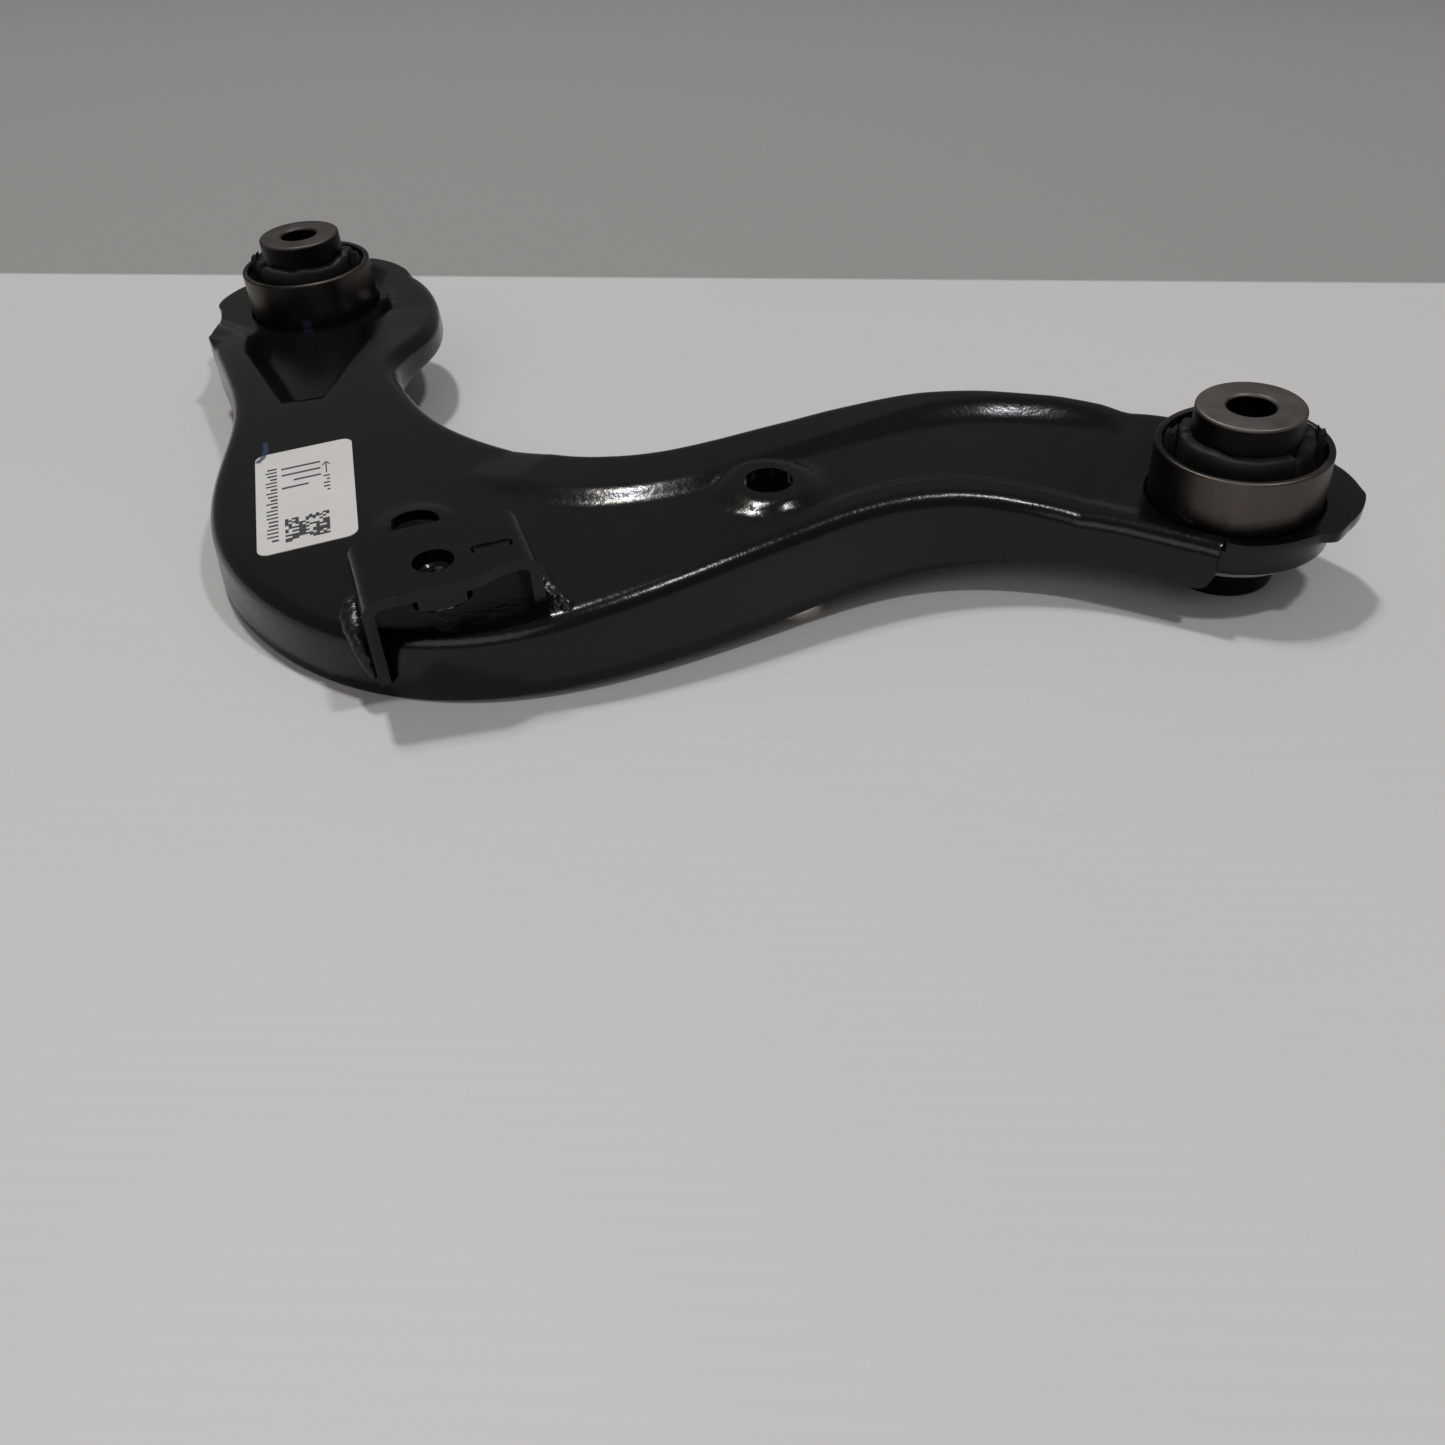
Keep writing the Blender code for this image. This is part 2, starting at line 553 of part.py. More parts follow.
def bracket(parts, cutters, root, envelope, paint):
    """An inverted U: a top plate with a bent-down leg at each end, cut to sit on the arm's surface."""
    mount = bpy.data.objects.new("bracket_mount", None)
    link(mount, parts, root)
    mount.matrix_local = bracket_frame()

    bm = bmesh.new()
    left, left_in = bracket_section(BRACKET_LEFT, BRACKET_TOP, BRACKET_BEND, BRACKET_SHEET, -1, 18.0)
    right, right_in = bracket_section(BRACKET_RIGHT, BRACKET_TOP, BRACKET_BEND, BRACKET_SHEET, 1, 33.0)
    outline = list(reversed(left)) + right + list(reversed(right_in)) + left_in
    ends = []
    for w in (BRACKET_BACK - 2, 14.0):
        ends.append([bm.verts.new((x * MM, w * MM, z * MM)) for x, z in outline])
    bm.faces.new(ends[0])
    bm.faces.new(list(reversed(ends[1])))
    for i in range(len(outline)):
        j = (i + 1) % len(outline)
        bm.faces.new((ends[0][i], ends[1][i], ends[1][j], ends[0][j]))
    bmesh.ops.recalc_face_normals(bm, faces=bm.faces)
    mesh = bpy.data.meshes.new("bracket")
    bm.to_mesh(mesh)
    bm.free()
    body = mesh_object("bracket", mesh, parts, mount, paint)

    # Plan outline of the top plate, kept from the strip above.
    keep = plan_outline("bracket_outline", (
        (BRACKET_LEFT - 1, 11.5, 0), (BRACKET_LEFT - 1, BRACKET_BACK, 7.0),
        (BRACKET_RIGHT + 1, BRACKET_BACK, 7.0), (BRACKET_RIGHT + 1, 8.6, 0), (15.0, 8.0, 2.0), (8.0, 11.8, 3.0), (-9.0, 11.2, 3.0)),
        BRACKET_TOP + 5, 60.0, cutters, mount)
    trim = body.modifiers.new("outline", "BOOLEAN")
    trim.operation = "INTERSECT"
    trim.object = make_cutter(keep)
    # Legs: side outline in w and z, so that the left one tapers down the flange.
    side = leg_outline(cutters, mount)
    cut(body, side)
    hole = mesh_object("bolt_hole", cylinder_mesh("bolt_hole", BRACKET_HOLE_RADIUS, 40, 55, 24), cutters, mount)
    cut(body, make_cutter(hole))
    start, end, place, half = SLOT
    slot = plan_outline("slot", ((start, place - half, half * 0.95), (end, place - half, half * 0.95),
                                 (end, place + half, half * 0.95), (start, place + half, half * 0.95)),
                        55, 12, cutters, mount, 3)
    cut(body, make_cutter(slot))
    cut(body, envelope)
    return mount, body


def bead(name, path, face, parts, cutters, mount, envelope, paint):
    """A weld bead: a tapered round string along a smooth path, cut back from the arm and from the leg."""
    bm = bmesh.new()
    rings = []
    steps = np.arange(0.0, len(path) - 0.99, 0.5)
    rows = np.array([spline(path, t) for t in steps])
    ahead = np.gradient(rows[:, :3], axis=0)
    for row, step in zip(rows, ahead):
        along = Vector(step).normalized()
        side = along.cross(Vector((1, 0, 0))).normalized()
        up = side.cross(along)
        ring = []
        for k in range(10):
            a = 2 * math.pi * k / 10
            p = Vector(row[:3]) + (side * math.cos(a) + up * math.sin(a)) * row[3]
            ring.append(bm.verts.new(p * MM))
        rings.append(ring)
    for a, b in zip(rings, rings[1:]):
        for k in range(10):
            j = (k + 1) % 10
            bm.faces.new((a[k], a[j], b[j], b[k]))
    bm.faces.new(list(reversed(rings[0])))
    bm.faces.new(rings[-1])
    bmesh.ops.recalc_face_normals(bm, faces=bm.faces)
    mesh = bpy.data.meshes.new(name)
    bm.to_mesh(mesh)
    bm.free()
    obj = mesh_object(name, mesh, parts, mount, paint)
    inside = (face + GAP, face - 12.0) if face > 0 else (face - GAP, face + 12.0)
    wall = plan_outline(name + "_wall", ((min(inside), -30, 0), (max(inside), -30, 0), (max(inside), 30, 0),
                                         (min(inside), 30, 0)), 60, 60, cutters, mount)
    cut(obj, make_cutter(wall))
    cut(obj, envelope)
    return obj


def weld_nut(parts, cutters, mount, paint):
    top = BRACKET_TOP - BRACKET_SHEET - GAP
    square = cylinder_mesh("weld_nut", NUT_ACROSS_FLATS / math.sqrt(2), top - NUT_HEIGHT, top, 4)
    square.transform(Matrix.Rotation(math.pi / 4, 4, "Z"))
    nut = mesh_object("weld_nut", square, parts, mount, paint)
    bore = cylinder_mesh("nut_bore", NUT_BORE_RADIUS, top - NUT_HEIGHT - 1, top + 1, 24)
    cut(nut, make_cutter(mesh_object("nut_bore", bore, cutters, mount)))
    return nut


def label(parts, root, paper):
    """A thin sticker that follows the plate, made of rings from its rounded outline to its middle."""
    corners = np.array(LABEL_CORNERS)
    length = np.linalg.norm(corners[2] - corners[1])
    width = np.linalg.norm(corners[1] - corners[0])
    outline = []
    for cx, cy, start in ((1, 1, 0), (-1, 1, 90), (-1, -1, 180), (1, -1, 270)):
        for k in range(5):
            a = math.radians(start + 90 * k / 4)
            outline.append((cx * (length / 2 - LABEL_CORNER_RADIUS) + LABEL_CORNER_RADIUS * math.cos(a),
                            cy * (width / 2 - LABEL_CORNER_RADIUS) + LABEL_CORNER_RADIUS * math.sin(a)))
    bm = bmesh.new()
    layers = []
    for lift in (GAP, GAP + LABEL_THICKNESS):
        rings = []
        for share in (1.0, 0.66, 0.33):
            ring = []
            for x, y in outline:
                p, q = 0.5 + x * share / length, 0.5 + y * share / width
                near = corners[0] + (corners[3] - corners[0]) * p
                far = corners[1] + (corners[2] - corners[1]) * p
                point = near + (far - near) * q
                ring.append(bm.verts.new((point[0] * MM, point[1] * MM, (surface_height(point) + lift) * MM)))
            rings.append(ring)
        middle = corners.mean(axis=0)
        centre = bm.verts.new((middle[0] * MM, middle[1] * MM, (surface_height(middle) + lift) * MM))
        for a, b in zip(rings, rings[1:]):
            for k in range(len(a)):
                j = (k + 1) % len(a)
                bm.faces.new((a[k], a[j], b[j], b[k]))
        for k in range(len(rings[-1])):
            bm.faces.new((rings[-1][k], rings[-1][(k + 1) % len(outline)], centre))
        layers.append(rings[0])
    for k in range(len(outline)):
        j = (k + 1) % len(outline)
        bm.faces.new((layers[0][k], layers[0][j], layers[1][j], layers[1][k]))
    bmesh.ops.recalc_face_normals(bm, faces=bm.faces)
    mesh = bpy.data.meshes.new("label")
    bm.to_mesh(mesh)
    bm.free()
    return mesh_object("label", mesh, parts, root, paper)


def stand_on_origin(parts, root):
    """Moves the root so that the origin is at the middle of the underside of the whole object's box."""
    bpy.context.view_layer.update()
    graph = bpy.context.evaluated_depsgraph_get()
    points = []
    for obj in parts.objects:
        if obj.type == "MESH":
            done = obj.evaluated_get(graph)
            points += [done.matrix_world @ v.co for v in done.to_mesh().vertices]
            done.to_mesh_clear()
    low = [min(p[i] for p in points) for i in range(3)]
    high = [max(p[i] for p in points) for i in range(3)]
    root.location = (-(low[0] + high[0]) / 2, -(low[1] + high[1]) / 2, -low[2])


def leg_outline(cutters, mount):
    """A cutter that trims the lower front and back of both legs."""
    x0, x1 = BRACKET_LEFT - 6, BRACKET_LEFT + 6
    shapes = (
        ((16.0, 46.0), (11.6, 46.0), (5.4, 21.5), (2.4, 19.5), (2.4, 10.0), (16.0, 10.0)),
        ((1.8, 10.0), (1.8, 31.4), (-22.0, 31.0), (-22.0, 10.0)),
    )
    bm = bmesh.new()
    for corners in shapes:
        rings = [[bm.verts.new((x * MM, w * MM, z * MM)) for w, z in corners] for x in (x0, x1)]
        bm.faces.new(rings[0])
        bm.faces.new(list(reversed(rings[1])))
        for i in range(len(corners)):
            j = (i + 1) % len(corners)
            bm.faces.new((rings[0][i], rings[1][i], rings[1][j], rings[0][j]))
    bmesh.ops.recalc_face_normals(bm, faces=bm.faces)
    mesh = bpy.data.meshes.new("leg_trim")
    bm.to_mesh(mesh)
    bm.free()
    return make_cutter(mesh_object("leg_trim", mesh, cutters, mount))


def main():
    clear_scene()
    parts = collection("control_arm")
    cutters = collection("cutters")
    root = bpy.data.objects.new("arm_origin", None)
    parts.objects.link(root)
    paint = material("black_paint", (0.013, 0.013, 0.014), 0.32)
    steel = material("sleeve_steel", (0.20, 0.19, 0.18), 0.42, 1.0)
    worn = material("shell_steel", (0.26, 0.24, 0.22), 0.38, 1.0)
    rubber = material("black_rubber", (0.012, 0.012, 0.013), 0.6)
    paper = material("white_label", (0.62, 0.60, 0.58), 0.5)
    body, envelope = arm(parts, cutters, root, paint)
    for side in (-1, 1):
        bushing(side, parts, root, steel, worn, rubber)
    mount, _ = bracket(parts, cutters, root, envelope, paint)
    weld_nut(parts, cutters, mount, paint)
    bead("bracket_weld_left", LEFT_BEAD, BRACKET_LEFT, parts, cutters, mount, envelope, paint)
    bead("bracket_weld_right", RIGHT_BEAD, BRACKET_RIGHT, parts, cutters, mount, envelope, paint)
    label(parts, root, paper)
    stand_on_origin(parts, root)


main()
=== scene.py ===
"""A pressed-steel control arm with two rubber bushings, lying on a pale table under soft light.

Lengths in the tables are millimetres in the arm's own design frame: x from the left bushing to the
right one, origin midway between their axes, z = 0 at the inner sleeves' lower faces. OFFSET takes
that frame to the row frame, and comes from the CAD boxes of the two inner sleeves.
"""

import json
import math
import random

import bmesh
import bpy
import numpy as np
from mathutils import Matrix, Vector, noise

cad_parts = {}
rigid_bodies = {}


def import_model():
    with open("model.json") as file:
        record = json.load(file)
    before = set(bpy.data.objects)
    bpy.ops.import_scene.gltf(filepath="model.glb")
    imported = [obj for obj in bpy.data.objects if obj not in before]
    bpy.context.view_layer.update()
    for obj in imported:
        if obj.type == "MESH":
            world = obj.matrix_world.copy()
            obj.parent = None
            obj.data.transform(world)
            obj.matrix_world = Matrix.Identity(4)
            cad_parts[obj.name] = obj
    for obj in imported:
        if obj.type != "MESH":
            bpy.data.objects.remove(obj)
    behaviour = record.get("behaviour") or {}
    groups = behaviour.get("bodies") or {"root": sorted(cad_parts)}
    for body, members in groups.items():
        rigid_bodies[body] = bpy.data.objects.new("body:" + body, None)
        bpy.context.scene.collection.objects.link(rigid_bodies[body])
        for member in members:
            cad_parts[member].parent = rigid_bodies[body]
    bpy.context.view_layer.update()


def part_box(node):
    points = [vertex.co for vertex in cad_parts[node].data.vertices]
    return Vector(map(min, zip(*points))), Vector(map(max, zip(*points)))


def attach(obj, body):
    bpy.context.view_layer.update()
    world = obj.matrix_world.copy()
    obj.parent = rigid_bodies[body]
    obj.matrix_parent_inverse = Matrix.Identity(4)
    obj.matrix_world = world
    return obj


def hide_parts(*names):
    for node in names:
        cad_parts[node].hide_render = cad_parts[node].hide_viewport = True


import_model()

MM = 0.001
for obj in list(bpy.data.objects):
    if obj.type in ("CAMERA", "LIGHT"):
        bpy.data.objects.remove(obj, do_unlink=True)


def box_centre(node):
    low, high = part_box(node)
    return (low + high) / 2


LEFT_AXIS, RIGHT_AXIS = box_centre("left_inner_sleeve"), box_centre("right_inner_sleeve")
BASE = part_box("left_inner_sleeve")[0].z / MM
SPAN = (RIGHT_AXIS.x - LEFT_AXIS.x) / MM
OFFSET = Vector(((LEFT_AXIS.x + RIGHT_AXIS.x) / 2 / MM, (LEFT_AXIS.y + RIGHT_AXIS.y) / 2 / MM, BASE))

# ---------------------------------------------------------------- dimensions

INNER_LENGTH, INNER_RADIUS, BOLT_RADIUS = 50.0, 14.0, 6.2
OUTER_RADIUS, OUTER_WALL, OUTER_TOP, OUTER_BOTTOM = 22.65, 2.0, 39.6, 11.2
SHEET, RIM_RADIUS, FLANGE_DRAFT = 2.9, 4.5, math.radians(4.0)
COLLAR_RADIUS, COLLAR_ENTRY, COLLAR_BOTTOM, SEAT_LEVEL = 22.75, 1.2, 14.8, 24.5
FLANGE_END_RADIUS, FLANGE_TAPER = 4.5, 8.0
PER_STATION, ACROSS, EAR_STEPS = 7, 54, 120

# Cross sections: outer edge x, y, inner edge x, y, plate height at both edges, flange bottom.
STATIONS = (
    (-173.0, -46.0, -117.8, 12.6, 28.8, 28.5, 16.0),
    (-157.5, -57.0, -101.0, -8.0, 30.6, 29.5, 16.2),
    (-141.0, -68.5, -98.0, -29.0, 31.5, 31.0, 16.4),
    (-126.0, -80.0, -91.0, -43.0, 31.7, 31.7, 16.5),
    (-112.0, -94.0, -78.2, -51.5, 32.0, 32.0, 16.5),
    (-100.0, -110.0, -64.4, -60.2, 32.2, 32.2, 16.5),
    (-86.0, -128.0, -48.6, -67.2, 32.4, 32.4, 16.5),
    (-68.0, -145.0, -31.8, -70.4, 32.6, 32.6, 16.5),
    (-44.0, -158.5, -18.0, -71.6, 32.8, 33.0, 16.5),
    (-13.0, -166.0, -6.9, -72.4, 33.0, 33.6, 16.5),
    (14.0, -162.5, 3.0, -71.8, 33.4, 34.2, 16.5),
    (36.0, -150.5, 13.3, -69.0, 34.2, 34.8, 16.3),
    (52.0, -132.5, 23.5, -63.2, 35.4, 35.4, 15.4),
    (64.5, -112.5, 33.2, -53.2, 36.0, 35.8, 14.2),
    (75.5, -91.5, 43.0, -39.1, 36.0, 35.8, 13.2),
    (85.5, -71.5, 53.0, -22.5, 35.2, 34.8, 12.6),
    (97.0, -54.5, 65.2, -5.4, 33.6, 33.0, 12.3),
    (110.0, -43.0, 79.8, 10.3, 31.2, 30.6, 12.3),
    (124.0, -36.2, 101.9, 23.2, 28.0, 28.0, 12.5),
    (137.0, -32.6, 129.2, 34.4, 25.4, 26.0, 12.6),
)
LEFT_LOBE = ((-129.0, 22.0), (-139.5, 28.2), (-150.0, 31.5))
RIGHT_OUTER_RUN = ((145.0, -31.4), (158.0, -30.8), (171.0, -30.8))
RIGHT_INNER_RUN = ((143.0, 36.2), (157.0, 35.4), (170.0, 33.2))
INNER_FLANGE_RISE = ((0.0, 4.5), (3.0, 4.5), (5.0, 0.0))
LEFT_EAR = ((-99.5, 44.0), (-106.0, 38.8), (-117.0, 35.5), (-130.0, 34.2), (-141.0, 34.2), (-148.0, 35.0),
            (-151.0, 37.0), (-160.0, 38.0), (-178.0, 38.0), (-200.0, 36.5), (-225.0, 35.0),
            (-262.0, 34.6), (-280.0, 35.2), (-292.0, 35.6))
RIGHT_EAR = ((-79.0, 27.2), (-60.0, 27.0), (-38.0, 27.0), (-24.0, 27.6), (-18.0, 30.4),
             (-6.0, 30.4), (6.0, 31.8), (18.0, 33.2), (24.0, 33.8), (27.0, 33.2), (45.0, 33.2),
             (62.0, 32.8), (72.0, 33.0), (80.0, 33.2))

LEFT_LIMB = (0.667, -0.745)
POCKET_HALF, POCKET_TIP_HALF = 22.0, 7.0
POCKET_STRAIGHT, POCKET_END = 50.0, 99.0
POCKET_SIDE_SLOPE, POCKET_END_SLOPE = 7.5, 11.0

# Raised rib along the inner edge: station, width, height, slope width.
RIB = ((8.0, 20.0, 0.0, 8.0), (9.3, 22.0, 1.9, 8.0), (11.0, 23.5, 2.4, 8.5), (13.0, 24.0, 2.2, 8.5),
       (14.5, 20.5, 1.8, 7.0), (15.5, 19.0, 2.4, 7.0), (16.5, 15.0, 3.6, 9.0), (17.4, 11.5, 4.0, 9.0),
       (18.2, 10.5, 3.6, 9.0), (18.7, 11.5, 2.1, 9.0), (19.0, 12.0, 0.5, 9.0))
# Low ridge along the outer edge of the right limb: station, width, height.
NEAR_RIDGE = ((14.5, 9.0, 0.0), (15.6, 11.0, 0.9), (16.8, 12.0, 1.4), (18.0, 11.0, 1.3), (19.0, 10.0, 1.1))
LIGHTENING_HOLE = (-17.0, -119.3, 6.9, 12.5, 0.9)
DRAIN_HOLE = (61.3, -66.8, 6.5, 15.0, 2.2)

BRACKET_AT, BRACKET_U = (17.4, -148.6), (0.65, 0.76)
BRACKET_TOP, BRACKET_SHEET, BRACKET_BEND = 49.0, 2.8, 4.5
BRACKET_LEFT, BRACKET_RIGHT, BRACKET_BACK = -19.0, 23.5, -17.6
BRACKET_HOLE_RADIUS = 5.0
SLOT = (9.1, 19.1, -0.6, 1.75)
NUT_ACROSS_FLATS, NUT_HEIGHT, NUT_BORE_RADIUS = 14.0, 6.5, 3.5

# Painted reflection on each bushing shell: lighter vertical stripes of steel, each given as angle about its axis,
# half width in degrees, lightness; between them the shell is painted dark.
SHEEN_BANDS = {
    "left": ((-112.0, 20.0, 0.9), (-36.0, 10.0, 0.45), (8.0, 28.0, 0.6), (120.0, 60.0, 0.5)),
    "right": ((-58.0, 50.0, 0.95), (-118.0, 14.0, 0.3), (110.0, 70.0, 0.5)),
}
STROKE = ((-90.6, -100.4), (-87.9, -102.7), (-85.2, -105.8), (-83.7, -108.4), (-83.3, -110.4))
LABEL_CORNERS = ((-86.5, -108.5), (-68.5, -87.0), (-28.2, -128.6), (-45.0, -149.0))
LABEL_CORNER_RADIUS, LABEL_THICKNESS = 3.2, 0.25

# ---------------------------------------------------------------- shape functions


def smooth_step(x):
    x = np.clip(x, 0.0, 1.0)
    return x * x * (3.0 - 2.0 * x)


def spline(rows, t):
    rows = np.asarray(rows, float)
    last = len(rows) - 1
    i = int(min(max(math.floor(t), 0), last - 1))
    f = t - i
    b, c = rows[i], rows[i + 1]
    a = rows[i - 1] if i else 2 * b - c
    d = rows[i + 2] if i + 2 <= last else 2 * c - b
    return 0.5 * (2 * b + (c - a) * f + (2 * a - 5 * b + 4 * c - d) * f**2 + (3 * b - a - 3 * c + d) * f**3)


def table_at(rows, t):
    return [float(np.interp(t, [r[0] for r in rows], [r[k] for r in rows])) for k in range(1, len(rows[0]))]


def centre_of(side):
    return np.array([side * SPAN / 2, 0.0])


def pocket_share(point):
    along = np.array(LEFT_LIMB)
    across = np.array([-along[1], along[0]])
    offset = point - centre_of(-1)
    e, side = float(offset @ along), float(offset @ across)
    f = abs(side)
    taper = (e - POCKET_STRAIGHT) / (POCKET_END - POCKET_STRAIGHT)
    half = POCKET_HALF - (POCKET_HALF - POCKET_TIP_HALF) * min(max(taper, 0.0), 1.2)
    pocket = min((half - f) / POCKET_SIDE_SLOPE, (POCKET_END - e) / POCKET_END_SLOPE)
    seat = (POCKET_HALF + 14.0 - 1.17 * (f - POCKET_HALF) - e) / (15.0 if side > 0 else 20.0)
    if side > 0:
        away = f if e > 0 else math.hypot(e, f)
        seat = min(seat, (27.5 - away) / 3.4 + 6.0 * max(0.0, 0.6 - side / away))
    return float(smooth_step(max(pocket, seat)))


def plate_height(t, v, width, point):
    row = spline(STATIONS, t)
    level = row[4] + (row[5] - row[4]) * v
    rib_width, rib_rise, rib_slope = table_at(RIB, t)
    rib = float(rib_rise * smooth_step((rib_width + rib_slope / 2 - (1 - v) * width) / rib_slope))
    ridge_width, ridge_rise = table_at(NEAR_RIDGE, t)
    ridge = float(ridge_rise * smooth_step((ridge_width + 2.0 - v * width) / 4.0))
    bosses = []
    for x, y, _, radius, height in (DRAIN_HOLE, LIGHTENING_HOLE):
        bosses.append(float(height * smooth_step((radius - math.hypot(point[0] - x, point[1] - y)) / 4.0)))
    level += max(rib, bosses[0]) + bosses[1] + ridge
    return level + (SEAT_LEVEL - level) * pocket_share(point)


def seat_height(side, point):
    if side < 0:
        row = spline(STATIONS, 0.0)
        outer, inner = row[:2], row[2:4]
        v = np.clip((point - outer) @ (inner - outer) / ((inner - outer) @ (inner - outer)), 0, 1)
        level = row[4] + (row[5] - row[4]) * v
        return float(level + (SEAT_LEVEL - level) * pocket_share(point))
    row = spline(STATIONS, len(STATIONS) - 1.0)
    rise = smooth_step((centre_of(1)[0] - point[0]) / (SPAN / 2 - 133.0))
    v = np.clip((point[1] - row[1]) / (row[3] - row[1]), 0, 1)
    ridge_width, ridge_rise = NEAR_RIDGE[-1][1:]
    ridge = (ridge_rise * smooth_step((ridge_width + 2.0 - point[1] + row[1]) / 4.0)
             * smooth_step((177.0 - point[0]) / 9.0))
    return float(SEAT_LEVEL + (row[4] + (row[5] - row[4]) * v - SEAT_LEVEL) * rise + ridge)


def surface_height(point):
    """Height of the plate's top over a plan point between the first and last station."""
    best = None
    for t in np.arange(0.0, len(STATIONS) - 0.999, 0.1):
        row = spline(STATIONS, t)
        across = row[2:4] - row[:2]
        width = float(np.linalg.norm(across))
        offset = np.asarray(point[:2]) - row[:2]
        away = abs(offset[0] * across[1] - offset[1] * across[0]) / width
        v = float(offset @ across) / width**2
        if -0.1 < v < 1.1 and (best is None or away < best[0]):
            best = (away, t, v, width)
    _, t, v, width = best
    return plate_height(t, min(max(v, 0.0), 1.0), width, np.asarray(point[:2], float))


def unit_steps(points):
    step = np.gradient(np.asarray(points, float), axis=0)
    return step / np.linalg.norm(step, axis=1)[:, None]


def inset(points, distance, side):
    """The chain moved sideways, by one distance or by one for each point."""
    step = unit_steps(points)
    move = side * np.broadcast_to(distance, len(points))[:, None]
    return np.asarray(points, float) + move * np.column_stack([-step[:, 1], step[:, 0]])


def rim_radii(points, from_start, from_end):
    """Radius of the rim at each point of a chain: nothing at an end that fades out, then RIM_RADIUS."""
    gaps = np.linalg.norm(np.diff(np.asarray(points, float), axis=0), axis=1)
    reach = np.concatenate([[0.0], np.cumsum(gaps)])
    away = np.full(len(reach), FLANGE_TAPER)
    if from_start:
        away = np.minimum(away, reach)
    if from_end:
        away = np.minimum(away, reach[-1] - reach)
    return RIM_RADIUS * smooth_step(away / FLANGE_TAPER)


def soften(rows, passes):
    """Evens out the curvature of a chain of rows, keeping its two ends."""
    rows = np.array(rows, float)
    for _ in range(passes):
        rows[1:-1] = (rows[:-2] + 2 * rows[1:-1] + rows[2:]) / 4
    return rows


# ---------------------------------------------------------------- mesh helpers

pieces_made = []


def row_frame(p):
    return ((p[0] + OFFSET.x) * MM, (p[1] + OFFSET.y) * MM, (p[2] + OFFSET.z) * MM)


def add(name, mesh, body, node, mat, smooth=40.0):
    obj = bpy.data.objects.new(name, mesh)
    bpy.context.scene.collection.objects.link(obj)
    mesh.materials.clear()
    mesh.materials.append(mat)
    mesh.shade_smooth()
    if smooth:
        mesh.set_sharp_from_angle(angle=math.radians(smooth))
    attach(obj, body)
    if node:
        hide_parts(node)
    pieces_made.append(obj)
    return obj


def baked(obj):
    """The object's mesh with its modifiers applied. The object itself is removed."""
    bpy.context.view_layer.update()
    graph = bpy.context.evaluated_depsgraph_get()
    mesh = bpy.data.meshes.new_from_object(obj.evaluated_get(graph), depsgraph=graph)
    bpy.data.objects.remove(obj, do_unlink=True)
    return mesh


def temporary(name, mesh):
    obj = bpy.data.objects.new(name, mesh)
    bpy.context.scene.collection.objects.link(obj)
    return obj


def mesh_from(bm, name, recalc=True):
    if recalc:
        bmesh.ops.recalc_face_normals(bm, faces=bm.faces)
    mesh = bpy.data.meshes.new(name)
    bm.to_mesh(mesh)
    bm.free()
    return mesh


def boolean(obj, other, operation="DIFFERENCE"):
    mod = obj.modifiers.new("boolean", "BOOLEAN")
    mod.operation = operation
    mod.object = other
    mod.solver = "EXACT"


def cylinder(name, x, y, radius, bottom, top, segments=72):
    bm = bmesh.new()
    place = Matrix.Translation(((x + OFFSET.x) * MM, (y + OFFSET.y) * MM,
                                ((top + bottom) / 2 + OFFSET.z) * MM))
    bmesh.ops.create_cone(bm, cap_ends=True, segments=segments, radius1=radius * MM, radius2=radius * MM,
                          depth=(top - bottom) * MM, matrix=place)
    return temporary(name, mesh_from(bm, name))


def lathe(name, profile, axis, steps=128):
    """A closed ring. profile(angle) gives its (radius, height) points in mm, in the design frame's z."""
    bm = bmesh.new()
    rings = []
    for k in range(steps):
        a = 2 * math.pi * k / steps
        rings.append([
            bm.verts.new((axis.x + r * MM * math.cos(a), axis.y + r * MM * math.sin(a), (z + OFFSET.z) * MM))
            for r, z in profile(a)
        ])
    for k in range(steps):
        a, b = rings[k], rings[(k + 1) % steps]
        for i in range(len(a)):
            j = (i + 1) % len(a)
            bm.faces.new((a[i], b[i], b[j], a[j]))
    return mesh_from(bm, name)


def rounded(points, radius_of, steps=4):
    """A closed (r, z) outline with its corners rounded by the given radii."""
    made = []
    count = len(points)
    for i, p in enumerate(points):
        here = Vector(p)
        before = (Vector(points[i - 1]) - here)
        after = (Vector(points[(i + 1) % count]) - here)
        radius = min(radius_of[i], 0.45 * before.length, 0.45 * after.length)
        if radius <= 0:
            made.append(tuple(here))
            continue
        start, end = here + before.normalized() * radius, here + after.normalized() * radius
        for k in range(steps + 1):
            f = k / steps
            made.append(tuple(start * (1 - f) ** 2 + here * 2 * f * (1 - f) + end * f**2))
    return made


# ---------------------------------------------------------------- materials


